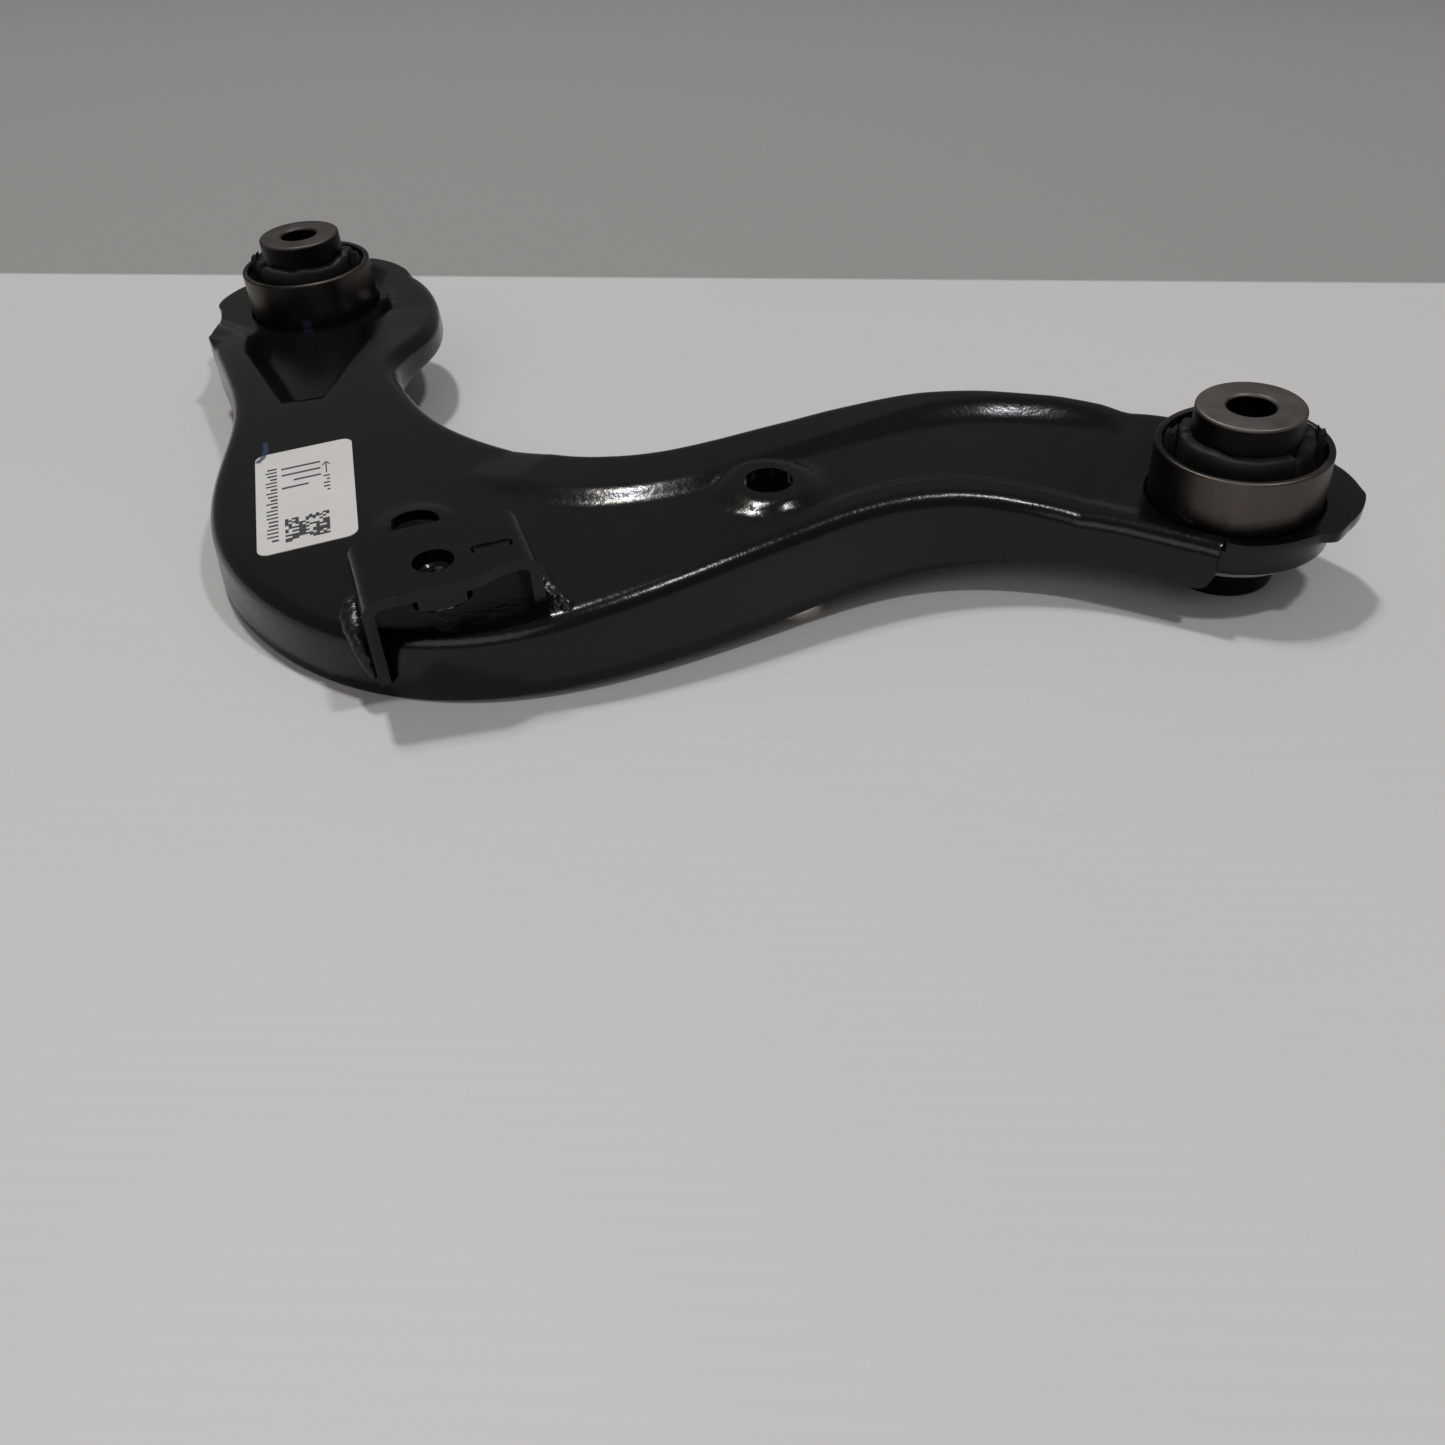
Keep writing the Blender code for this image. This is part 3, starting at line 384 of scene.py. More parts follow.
class Shader:
    """Short names for building a node tree round a Principled shader."""

    def __init__(self, name, **settings):
        self.material = bpy.data.materials.new(name)
        self.material.use_nodes = True
        self.tree = self.material.node_tree
        self.shader = self.tree.nodes["Principled BSDF"]
        for key, value in settings.items():
            self.shader.inputs[key.replace("_", " ")].default_value = value
        self.place = self.node("ShaderNodeTexCoord").outputs["Object"]

    def node(self, kind, **settings):
        made = self.tree.nodes.new(kind)
        for key, value in settings.items():
            setattr(made, key, value)
        return made

    def link(self, a, b):
        self.tree.links.new(a, b)

    def noise(self, scale, detail=2.0, roughness=0.5, stretch=None, distortion=0.0):
        made = self.node("ShaderNodeTexNoise")
        made.inputs["Scale"].default_value = scale
        made.inputs["Detail"].default_value = detail
        made.inputs["Roughness"].default_value = roughness
        made.inputs["Distortion"].default_value = distortion
        place = self.place
        if stretch:
            mapping = self.node("ShaderNodeMapping")
            mapping.inputs["Scale"].default_value = stretch
            self.link(self.place, mapping.inputs["Vector"])
            place = mapping.outputs["Vector"]
        self.link(place, made.inputs["Vector"])
        return made.outputs["Fac"]

    def voronoi(self, scale, feature="F1"):
        made = self.node("ShaderNodeTexVoronoi", feature=feature)
        made.inputs["Scale"].default_value = scale
        self.link(self.place, made.inputs["Vector"])
        return made.outputs["Distance"]

    def math(self, operation, a, b=0.0, c=0.0):
        made = self.node("ShaderNodeMath", operation=operation)
        for socket, value in zip(made.inputs, (a, b, c)):
            if isinstance(value, (int, float)):
                socket.default_value = value
            else:
                self.link(value, socket)
        return made.outputs[0]

    def ramp(self, value, low, high, out_low=0.0, out_high=1.0):
        made = self.node("ShaderNodeMapRange", clamp=True)
        for key, number in (("From Min", low), ("From Max", high), ("To Min", out_low), ("To Max", out_high)):
            made.inputs[key].default_value = number
        self.link(value, made.inputs["Value"])
        return made.outputs["Result"]

    def mix(self, factor, a, b):
        made = self.node("ShaderNodeMix", data_type="RGBA")
        if isinstance(factor, (int, float)):
            made.inputs[0].default_value = factor
        else:
            self.link(factor, made.inputs[0])
        for socket, value in ((made.inputs[6], a), (made.inputs[7], b)):
            if isinstance(value, tuple):
                socket.default_value = (*value, 1.0)
            else:
                self.link(value, socket)
        return made.outputs[2]

    def axis(self, name):
        made = self.node("ShaderNodeSeparateXYZ")
        self.link(self.place, made.inputs[0])
        return made.outputs[name]

    def bump(self, *layers):
        """Each layer is (height socket, distance in metres, strength)."""
        normal = None
        for height, distance, strength in layers:
            made = self.node("ShaderNodeBump")
            made.inputs["Distance"].default_value = distance
            made.inputs["Strength"].default_value = strength
            self.link(height, made.inputs["Height"])
            if normal:
                self.link(normal, made.inputs["Normal"])
            normal = made.outputs["Normal"]
        self.link(normal, self.shader.inputs["Normal"])

    def colour(self, socket):
        self.link(socket, self.shader.inputs["Base Color"])

    def roughness(self, socket):
        self.link(socket, self.shader.inputs["Roughness"])

    def near_line(self, a, b, half, wobble=0.0):
        """1 close to the plan segment a-b (design frame), 0 away from it, whatever the height."""
        ax, ay = row_frame((*a, 0))[:2]
        bx, by = row_frame((*b, 0))[:2]
        length = math.hypot(bx - ax, by - ay)
        ux, uy = (bx - ax) / length, (by - ay) / length
        x = self.math("SUBTRACT", self.axis("X"), ax)
        y = self.math("SUBTRACT", self.axis("Y"), ay)
        along = self.math("ADD", self.math("MULTIPLY", x, ux), self.math("MULTIPLY", y, uy))
        across = self.math("SUBTRACT", self.math("MULTIPLY", y, ux), self.math("MULTIPLY", x, uy))
        kept = self.math("MINIMUM", self.math("MAXIMUM", along, 0.0), length)
        past = self.math("SUBTRACT", along, kept)
        away = self.math("SQRT", self.math("ADD", self.math("MULTIPLY", past, past),
                                           self.math("MULTIPLY", across, across)))
        if wobble:
            shake = self.math("MULTIPLY", self.math("SUBTRACT", self.noise(900.0, 3.0), 0.5), wobble * MM * 2)
            away = self.math("ADD", away, shake)
        return self.ramp(away, half * MM, (half - 0.45) * MM)


def black_paint(name, marks=False, dark=1.0):
    s = Shader(name, Roughness=0.2, IOR=1.40)
    cloud = s.noise(22.0, 4.0, 0.55)
    fine = s.noise(260.0, 3.0, 0.6)
    base = s.mix(cloud, tuple(c * dark for c in (0.0018, 0.0018, 0.0018)),
                 tuple(c * dark for c in (0.0031, 0.003, 0.0029)))
    dust = s.math("MULTIPLY", s.ramp(s.voronoi(330.0), 0.10, 0.03), s.ramp(s.noise(60.0, 2.0), 0.52, 0.62))
    base = s.mix(s.math("MULTIPLY", dust, 0.35), base, (0.06, 0.057, 0.053))
    rough = s.math("ADD", s.ramp(cloud, 0.3, 0.7, 0.13, 0.20), s.math("MULTIPLY", fine, 0.06))
    if marks:
        base = s.mix(s.math("MULTIPLY", blue_stroke(s), 0.8), base, (0.03, 0.045, 0.10))
    s.colour(base)
    s.roughness(rough)
    pit = s.ramp(s.voronoi(190.0), 0.0, 0.16)
    s.bump((s.noise(620.0, 3.0, 0.55), 0.00016, 0.5), (s.noise(140.0, 2.0, 0.5), 0.0003, 0.12),
           (pit, 0.00008, 0.2))
    return s.material


def blue_stroke(s):
    """A short hooked marker stroke across the corner of the label."""
    first = s.near_line(STROKE[0], STROKE[1], 0.9, 0.35)
    for a, b in zip(STROKE[1:], STROKE[2:]):
        first = s.math("MAXIMUM", first, s.near_line(a, b, 1.0, 0.35))
    return first


def shell_steel(name, axis, sheen_bands, marked):
    """Worn steel, painted dark below. Above the paint line the brownish steel shows only in vertical stripes of
    painted reflection and is dark between them; its bands, given as (angle, half width, lightness), place that
    painted reflection.
    """
    s = Shader(name, Metallic=1.0, Roughness=0.4)
    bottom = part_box("left_outer_sleeve")[0].z
    z = s.axis("Z")
    streak = s.noise(1.0, 4.0, 0.6, stretch=(110.0, 110.0, 8.0))
    cloud = s.noise(60.0, 4.0, 0.6)
    turn = s.math("ARCTAN2", s.math("SUBTRACT", s.axis("Y"), axis.y), s.math("SUBTRACT", s.axis("X"), axis.x))
    light = None
    for angle, half, share in sheen_bands:
        off = s.math("ABSOLUTE", s.math("SUBTRACT", turn, math.radians(angle)))
        sheen_band = s.ramp(off, math.radians(half + 7.0), math.radians(max(half - 7.0, 0.0)), 0.0, share)
        light = sheen_band if light is None else s.math("MAXIMUM", light, sheen_band)
    light = s.math("MULTIPLY", light, s.ramp(streak, 0.35, 0.65, 0.72, 1.08))
    edge = s.math("ADD", s.math("MULTIPLY", s.math("SUBTRACT", cloud, 0.5), 0.006),
                  s.math("MULTIPLY", s.math("SUBTRACT", streak, 0.5), 0.005))
    bare = s.ramp(s.math("ADD", z, edge), bottom + 0.0145, bottom + 0.0185)
    steel = s.mix(cloud, (0.10, 0.083, 0.074), (0.138, 0.116, 0.103))
    # painted reflection: steel colour only inside the lighter stripes, dark paint colour between them
    colour = s.mix(s.math("MULTIPLY", bare, light), (0.03, 0.029, 0.028), steel)
    colour = s.mix(s.ramp(z, bottom + 0.0019, bottom + 0.0016), colour, (0.62, 0.61, 0.60))
    if marked:
        spot = s.math("MULTIPLY", s.near_line((-154.4, -19.0), (-152.9, -17.8), 0.8, 0.3),
                      s.ramp(z, bottom + 0.0166, bottom + 0.0146))
        colour = s.mix(spot, colour, (0.09, 0.10, 0.20))
    s.colour(colour)
    s.roughness(s.math("ADD", s.ramp(cloud, 0.3, 0.7, 0.30, 0.42), s.math("MULTIPLY", streak, 0.08)))
    s.bump((streak, 0.00003, 0.3), (s.noise(700.0, 2.0), 0.00003, 0.25))
    return s.material


def sleeve_steel(name, face, side, axis):
    """Sawn and chamfered tube: a light turned face on top, a dark side."""
    s = Shader(name, Metallic=1.0, Roughness=0.5)
    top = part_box("left_inner_sleeve")[1].z
    cloud = s.noise(90.0, 4.0, 0.6)
    on_face = s.ramp(s.axis("Z"), top - 0.0009, top - 0.0004)
    face_colour = s.mix(cloud, tuple(c * 0.82 for c in face), tuple(c * 1.15 for c in face))
    side_colour = s.mix(cloud, tuple(c * 0.8 for c in side), tuple(c * 1.2 for c in side))
    s.colour(s.mix(on_face, side_colour, face_colour))
    s.roughness(s.ramp(cloud, 0.3, 0.7, 0.42, 0.56))
    x = s.math("SUBTRACT", s.axis("X"), axis.x)
    y = s.math("SUBTRACT", s.axis("Y"), axis.y)
    away = s.math("SQRT", s.math("ADD", s.math("MULTIPLY", x, x), s.math("MULTIPLY", y, y)))
    rings = s.math("SINE", s.math("MULTIPLY", away, 2 * math.pi / 0.00045))
    s.bump((rings, 0.000012, 0.5), (s.noise(800.0, 2.0), 0.00003, 0.3))
    return s.material


def black_rubber():
    s = Shader("moulded_rubber", Roughness=0.6, IOR=1.36)
    cloud = s.noise(70.0, 4.0, 0.6)
    s.colour(s.mix(cloud, (0.0030, 0.0030, 0.0032), (0.0075, 0.0075, 0.008)))
    s.roughness(s.ramp(cloud, 0.3, 0.7, 0.48, 0.68))
    s.bump((s.noise(600.0, 3.0), 0.00008, 0.35), (s.noise(110.0, 2.0), 0.0003, 0.2))
    return s.material


def label_paper():
    s = Shader("label_paper", Roughness=0.45, IOR=1.45, Coat_Weight=0.15, Coat_Roughness=0.3)
    cloud = s.noise(45.0, 3.0, 0.6)
    paper = s.mix(cloud, (0.60, 0.575, 0.55), (0.68, 0.66, 0.64))
    s.colour(s.mix(s.math("MULTIPLY", blue_stroke(s), 0.9), paper, (0.025, 0.05, 0.10)))
    s.roughness(s.ramp(cloud, 0.3, 0.7, 0.4, 0.52))
    s.bump((s.noise(900.0, 2.0), 0.00002, 0.3), (s.noise(60.0, 2.0), 0.0003, 0.08))
    return s.material


def label_ink():
    s = Shader("label_ink", Roughness=0.5)
    s.colour(s.mix(s.noise(500.0, 2.0), (0.012, 0.012, 0.012), (0.05, 0.05, 0.05)))
    s.bump((s.noise(900.0, 2.0), 0.00001, 0.2))
    return s.material


def weld_metal():
    s = Shader("painted_weld", Roughness=0.25, IOR=1.45)
    cloud = s.noise(120.0, 4.0, 0.6)
    s.colour(s.mix(cloud, (0.003, 0.003, 0.003), (0.006, 0.0055, 0.0055)))
    s.roughness(s.ramp(cloud, 0.3, 0.7, 0.22, 0.38))
    s.bump((s.noise(420.0, 3.0), 0.0002, 0.5), (s.ramp(s.voronoi(260.0), 0.0, 0.3), 0.0002, 0.3))
    return s.material


# ---------------------------------------------------------------- the arm


class ArmSkin:
    def __init__(self):
        self.bm = bmesh.new()

    def row(self, points):
        return [self.bm.verts.new(row_frame(p)) for p in points]

    def strip(self, a, b):
        for i in range(len(a) - 1):
            corners = [a[i], a[i + 1], b[i + 1], b[i]]
            if len(set(corners)) == 4:
                self.bm.faces.new(corners)

    def plan(self, chain):
        return [Vector(v.co) / MM - OFFSET for v in chain]

    def plate(self, times, outer, inner, radii):
        grid = []
        for t, a, b, radius in zip(times, outer, inner, radii):
            width = float(np.linalg.norm(b - a)) + radius + RIM_RADIUS
            points = []
            for k in range(ACROSS + 1):
                p = a + (b - a) * k / ACROSS
                v = (radius + np.linalg.norm(p - a)) / width
                points.append((*p, plate_height(t, v, width, p)))
            grid.append(self.row(points))
        for a, b in zip(grid, grid[1:]):
            self.strip(b, a)
        return grid

    def seat(self, side, edge):
        centre = centre_of(side)
        rim = self.plan(edge)
        rings = [edge]
        entry = COLLAR_RADIUS + COLLAR_ENTRY
        for share in np.linspace(0, 1, 10)[1:]:
            ring = []
            for p in rim:
                flat = np.array(p.xy) - centre
                away = np.linalg.norm(flat)
                q = centre + flat / away * (away + (entry - away) * share)
                level = seat_height(side, q)
                ring.append((*q, level + (SEAT_LEVEL - level) * float(smooth_step(share * 2 - 1))))
            rings.append(self.row(ring))
        turns = [np.array(p.xy) - centre for p in rim]
        turns = [d / np.linalg.norm(d) for d in turns]
        for angle in range(11, 91, 11):
            a = math.radians(90 * angle / 88)
            r, z = entry - COLLAR_ENTRY * math.sin(a), SEAT_LEVEL - COLLAR_ENTRY * (1 - math.cos(a))
            rings.append(self.row([(*(centre + d * r), z) for d in turns]))
        rings.append(self.row([(*(centre + d * COLLAR_RADIUS), COLLAR_BOTTOM) for d in turns]))
        for a, b in zip(rings, rings[1:]):
            self.strip(a + a[:1], b + b[:1])

    def flange(self, edge, bottoms, radii):
        chain = self.plan(edge)
        step = soften(unit_steps([tuple(p.xy) for p in chain]), 6)
        step /= np.linalg.norm(step, axis=1)[:, None]
        outward = np.column_stack([step[:, 1], -step[:, 0]])
        reach = [0.0]
        for a, b in zip(chain, chain[1:]):
            reach.append(reach[-1] + (b - a).length)
        rows = [edge]
        last = math.pi / 2 - FLANGE_DRAFT
        for k in range(1, 9):
            a = last * k / 8
            rows.append(self.row([
                (*(np.array(p.xy) + n * r * math.sin(a)), p.z - r * (1 - math.cos(a)))
                for p, n, r in zip(chain, outward, radii)
            ]))
        ends = []
        for p, bottom, s, r in zip(chain, bottoms, reach, radii):
            near = FLANGE_END_RADIUS - min(FLANGE_END_RADIUS, s, reach[-1] - s)
            lift = FLANGE_END_RADIUS - math.sqrt(max(0.0, FLANGE_END_RADIUS**2 - near**2))
            bend_end = p.z - r * (1 - math.cos(last))
            low = min(bottom + lift, bend_end - 1.2)
            ends.append((bend_end, bend_end - 0.05 + (low - bend_end + 0.05) * math.sqrt(r / RIM_RADIUS)))
        for share in (0.25, 0.5, 0.75, 1.0):
            wall = []
            for p, n, r, (bend_end, z) in zip(chain, outward, radii, ends):
                drop = (bend_end - z) * share
                out = r * math.sin(last) + drop * math.tan(FLANGE_DRAFT)
                wall.append((*(np.array(p.xy) + n * out), bend_end - drop))
            rows.append(self.row(wall))
        for a, b in zip(rows, rows[1:]):
            self.strip(a, b)


def ear_points(side, ear):
    centre = centre_of(side)
    points = []
    angles = np.linspace(ear[0][0], ear[-1][0], EAR_STEPS)
    radii = [np.interp(abs(a - ear[0][0]), [abs(e[0] - ear[0][0]) for e in ear], [e[1] for e in ear])
             for a in angles]
    radii = soften(np.array(radii)[:, None], 3)[:, 0]
    for angle, radius in zip(angles, radii):
        a = math.radians(angle)
        q = centre + radius * np.array([math.cos(a), math.sin(a)])
        points.append((*q, seat_height(side, q)))
    return points


def edge_chains(times):
    """Both edges of the plate with the runs beside the bushings, evened out and moved in by the rim's radius."""
    rows = np.array([spline(STATIONS, t) for t in times])
    first, last = STATIONS[0], STATIONS[-1]

    def run(anchor, points):
        return [spline([anchor, *points], t) for t in np.arange(0.1, len(points) + 0.01, 0.1)]

    lobe = run(first[2:4], LEFT_LOBE)
    outer = soften(np.vstack([rows[:, :2], run(last[:2], RIGHT_OUTER_RUN)]), 24)
    inner = soften(np.vstack([lobe[::-1], rows[:, 2:4], run(last[2:4], RIGHT_INNER_RUN)]), 24)
    outer_radii, inner_radii = rim_radii(outer, True, False), rim_radii(inner, True, True)
    return inset(outer, outer_radii, 1), inset(inner, inner_radii, -1), outer_radii, inner_radii, len(lobe)


def arm_mesh():
    skin = ArmSkin()
    count = (len(STATIONS) - 1) * PER_STATION + 1
    times = [i / PER_STATION for i in range(count)]
    outer, inner, outer_radii, inner_radii, before = edge_chains(times)
    grid = skin.plate(times, outer, inner[before:before + count], outer_radii)

    def beside(side, points):
        return skin.row([(*p, seat_height(side, p)) for p in points])

    lobe, right_inner, right_outer = (beside(-1, inner[:before]), beside(1, inner[before + count:]),
                                      beside(1, outer[count:]))
    left_ear = skin.row(ear_points(-1, LEFT_EAR))
    right_ear = skin.row(ear_points(1, RIGHT_EAR))
    skin.seat(-1, list(reversed(grid[0])) + left_ear + lobe)
    skin.seat(1, grid[-1] + right_inner + list(reversed(right_ear)) + list(reversed(right_outer)))

    bottoms = [float(spline(STATIONS, t)[6]) for t in times]
    inner_bottoms = [z + table_at(INNER_FLANGE_RISE, t)[0] for z, t in zip(bottoms, times)]
    inner_bottoms = [inner_bottoms[0]] * before + inner_bottoms + [bottoms[-1]] * len(right_inner)
    skin.flange([row[0] for row in grid] + right_outer, bottoms + [bottoms[-1]] * len(right_outer),
                outer_radii)
    inner_edge = lobe + [row[-1] for row in grid] + right_inner
    skin.flange(inner_edge[::-1], inner_bottoms[::-1], inner_radii[::-1])
    bmesh.ops.recalc_face_normals(skin.bm, faces=skin.bm.faces)
    skin.bm.normal_update()
    if max(skin.bm.faces, key=lambda f: f.calc_center_median().z).normal.z < 0:
        bmesh.ops.reverse_faces(skin.bm, faces=skin.bm.faces)
    obj = temporary("arm_work", mesh_from(skin.bm, "arm_work", recalc=False))
    thick = obj.modifiers.new("sheet", "SOLIDIFY")
    thick.thickness = SHEET * MM
    thick.offset = -1.0
    thick.use_even_offset = False
    edges = obj.modifiers.new("edges", "BEVEL")
    edges.width = 0.45 * MM
    edges.segments = 2
    edges.limit_method = "ANGLE"
    edges.angle_limit = math.radians(60)
    cutters = []
    for x, y, radius, _, _ in (LIGHTENING_HOLE, DRAIN_HOLE):
        cutters.append(cylinder("hole", x, y, radius, 20, 50))
        boolean(obj, cutters[-1])
    mesh = baked(obj)
    for cutter in cutters:
        bpy.data.objects.remove(cutter, do_unlink=True)
    return mesh


# ---------------------------------------------------------------- bracket, nut, welds, label

BRACKET_ALONG = Vector((*BRACKET_U, 0)).normalized()
BRACKET_OUT = Vector((BRACKET_ALONG.y, -BRACKET_ALONG.x, 0))


def from_bracket(u, w, z):
    p = Vector((*BRACKET_AT, 0)) + BRACKET_ALONG * u + BRACKET_OUT * w
    return Vector(row_frame((p.x, p.y, z)))


def prism(name, outline, lift):
    """A closed solid between two copies of an outline, placed by lift(point, 0 or 1)."""
    bm = bmesh.new()
    rings = [[bm.verts.new(lift(p, k)) for p in outline] for k in (0, 1)]
    bm.faces.new(rings[0])
    bm.faces.new(list(reversed(rings[1])))
    for i in range(len(outline)):
        j = (i + 1) % len(outline)
        bm.faces.new((rings[0][i], rings[1][i], rings[1][j], rings[0][j]))
    return temporary(name, mesh_from(bm, name))


def bracket_mesh():
    outline = []
    lines = []
    for edge, toward, low in ((BRACKET_LEFT, -1, 18.0), (BRACKET_RIGHT, 1, 32.0)):
        for radius in (BRACKET_BEND, BRACKET_BEND - BRACKET_SHEET):
            line = []
            for k in range(9):
                a = math.radians(90 * k / 8)
                line.append((edge - toward * (BRACKET_BEND - radius * math.sin(a)),
                             BRACKET_TOP - BRACKET_BEND + radius * math.cos(a)))
            line.append((edge - toward * (BRACKET_BEND - radius), low))
            lines.append(line)
    left, left_in, right, right_in = lines
    outline = list(reversed(left)) + right + list(reversed(right_in)) + left_in
    body = prism("bracket_work", outline, lambda p, k: from_bracket(p[0], (BRACKET_BACK - 2, 14.0)[k], p[1]))
    plan = rounded([(BRACKET_LEFT - 1, 11.5), (BRACKET_LEFT - 1, BRACKET_BACK), (BRACKET_RIGHT + 1, BRACKET_BACK),
                    (BRACKET_RIGHT + 1, 8.6), (15.0, 8.0), (8.0, 11.8), (-9.0, 11.2)],
                   (0, 8.0, 8.0, 0, 3.5, 4.5, 4.0), 10)
    keep = prism("keep", plan, lambda p, k: from_bracket(p[0], p[1], (-10.0, 60.0)[k]))
    boolean(body, keep, "INTERSECT")
    x0, x1 = BRACKET_LEFT - 6, BRACKET_LEFT + 6
    helpers = [keep]
    for side in (((16.0, 46.0), (11.6, 46.0), (5.4, 21.5), (2.4, 19.5), (2.4, 10.0), (16.0, 10.0)),
                 ((1.8, 10.0), (1.8, 31.4), (-22.0, 31.0), (-22.0, 10.0))):
        helpers.append(prism("trim", side, lambda p, k: from_bracket((x0, x1)[k], p[0], p[1])))
        boolean(body, helpers[-1])
    helpers.append(cylinder("hole", BRACKET_AT[0], BRACKET_AT[1], BRACKET_HOLE_RADIUS, 40, 55))
    boolean(body, helpers[-1])
    start, end, place, half = SLOT
    slot = rounded([(start, place - half), (end, place - half), (end, place + half), (start, place + half)],
                   (half,) * 4, 6)
    helpers.append(prism("slot", slot, lambda p, k: from_bracket(p[0], p[1], (43.0, 55.0)[k])))
    boolean(body, helpers[-1])
    edges = body.modifiers.new("edges", "BEVEL")
    edges.width = 0.7 * MM
    edges.segments = 4
    edges.limit_method = "ANGLE"
    edges.angle_limit = math.radians(50)
    for part in [body] + helpers:
        part.data.shade_smooth()
    weigh = body.modifiers.new("normals", "WEIGHTED_NORMAL")
    weigh.weight = 100
    mesh = baked(body)
    for helper in helpers:
        bpy.data.objects.remove(helper, do_unlink=True)
    return mesh


def nut_mesh():
    top = BRACKET_TOP - BRACKET_SHEET - 0.3
    bottom = top - NUT_HEIGHT
    turn = math.atan2(BRACKET_ALONG.y, BRACKET_ALONG.x)
    flat = NUT_ACROSS_FLATS / 2

    def profile(a):
        square = min(flat / math.cos((a - turn + math.pi / 4) % (math.pi / 2) - math.pi / 4), flat * 1.27)
        chamfer = 0.4 + 0.5 * (square - flat)
        outline = [(square, top - 0.2), (square, bottom + chamfer), (min(square - 0.4, flat * 1.02), bottom)]
        thread = []
        turns = 5
        for k in range(turns * 4 + 1):
            z = bottom + 0.5 + (NUT_HEIGHT - 1.0) * k / (turns * 4)
            depth = (0.0, 0.25, 0.5, 0.25)[k % 4]
            thread.append((NUT_BORE_RADIUS + 0.05 + depth, z))
        return (outline + [(NUT_BORE_RADIUS + 0.7, bottom)] + thread
                + [(NUT_BORE_RADIUS + 0.7, top), (square - 0.2, top)])

    centre = from_bracket(0, 0, 0)
    return lathe("weld_nut", profile, centre, 144)


def bead_mesh(name, path, seed, rough_start, rough_end):
    """A weld bead: a string with the faint ripples of its passes, uneven by rough_start to rough_end mm."""
    bm = bmesh.new()
    random.seed(seed)
    rows = np.array([spline(path, t) for t in np.arange(0.0, len(path) - 0.999, 0.06)])
    ahead = unit_steps(rows[:, :3])
    rings = []
    for i, (row, step) in enumerate(zip(rows, ahead)):
        rough = rough_start + (rough_end - rough_start) * i / len(rows)
        along = Vector(step)
        side = along.cross(Vector((1, 0, 0))).normalized()
        up = side.cross(along)
        ring = []
        for k in range(28):
            a = 2 * math.pi * k / 28
            out = side * math.cos(a) + up * math.sin(a)
            p = Vector(row[:3]) + out * row[3]
            ripple = 0.018 * math.sin(i * 0.8 + math.sin(a) * 1.2) * row[3]
            grain = noise.noise(p * 0.45 + Vector((seed, 0, 0))) * rough + noise.noise(p * 1.3) * rough * 0.45
            p += out * (ripple + grain)
            ring.append(bm.verts.new(from_bracket(*p)))
        rings.append(ring)
    for a, b in zip(rings, rings[1:]):
        for k in range(28):
            j = (k + 1) % 28
            bm.faces.new((a[k], a[j], b[j], b[k]))
    bm.faces.new(list(reversed(rings[0])))
    bm.faces.new(rings[-1])
    return mesh_from(bm, name)


def label_point(p, q, lift):
    """p, q from 0 to 1 along and across the label, lift in mm above the plate."""
    corners = np.array(LABEL_CORNERS)
    near = corners[0] + (corners[3] - corners[0]) * p
    far = corners[1] + (corners[2] - corners[1]) * p
    point = near + (far - near) * q
    return row_frame((*point, surface_height(point) + lift))


def label_mesh():
    corners = np.array(LABEL_CORNERS)
    length = np.linalg.norm(corners[2] - corners[1])
    width = np.linalg.norm(corners[1] - corners[0])
    outline = []
    for cx, cy, start in ((1, 1, 0), (-1, 1, 90), (-1, -1, 180), (1, -1, 270)):
        for k in range(9):
            a = math.radians(start + 90 * k / 8)
            outline.append((cx * (length / 2 - LABEL_CORNER_RADIUS) + LABEL_CORNER_RADIUS * math.cos(a),
                            cy * (width / 2 - LABEL_CORNER_RADIUS) + LABEL_CORNER_RADIUS * math.sin(a)))
    full = []
    for i, (x, y) in enumerate(outline):
        nx, ny = outline[(i + 1) % len(outline)]
        parts = max(1, int(math.hypot(nx - x, ny - y) / 4))
        full += [(x + (nx - x) * k / parts, y + (ny - y) * k / parts) for k in range(parts)]
    bm = bmesh.new()
    rings = []
    for share, lift in ((1.0, 0.02), (1.0, LABEL_THICKNESS), (0.97, LABEL_THICKNESS + 0.02),
                        (0.7, LABEL_THICKNESS + 0.02),
                        (0.4, LABEL_THICKNESS + 0.02), (0.12, LABEL_THICKNESS + 0.02)):
        rings.append([bm.verts.new(label_point(0.5 + x * share / length, 0.5 + y * share / width, lift))
                      for x, y in full])
    for a, b in zip(rings, rings[1:]):
        for k in range(len(a)):
            j = (k + 1) % len(a)
            bm.faces.new((a[k], a[j], b[j], b[k]))
    bm.faces.new(rings[-1])
    bm.faces.new(list(reversed(rings[0])))
    return mesh_from(bm, "label")


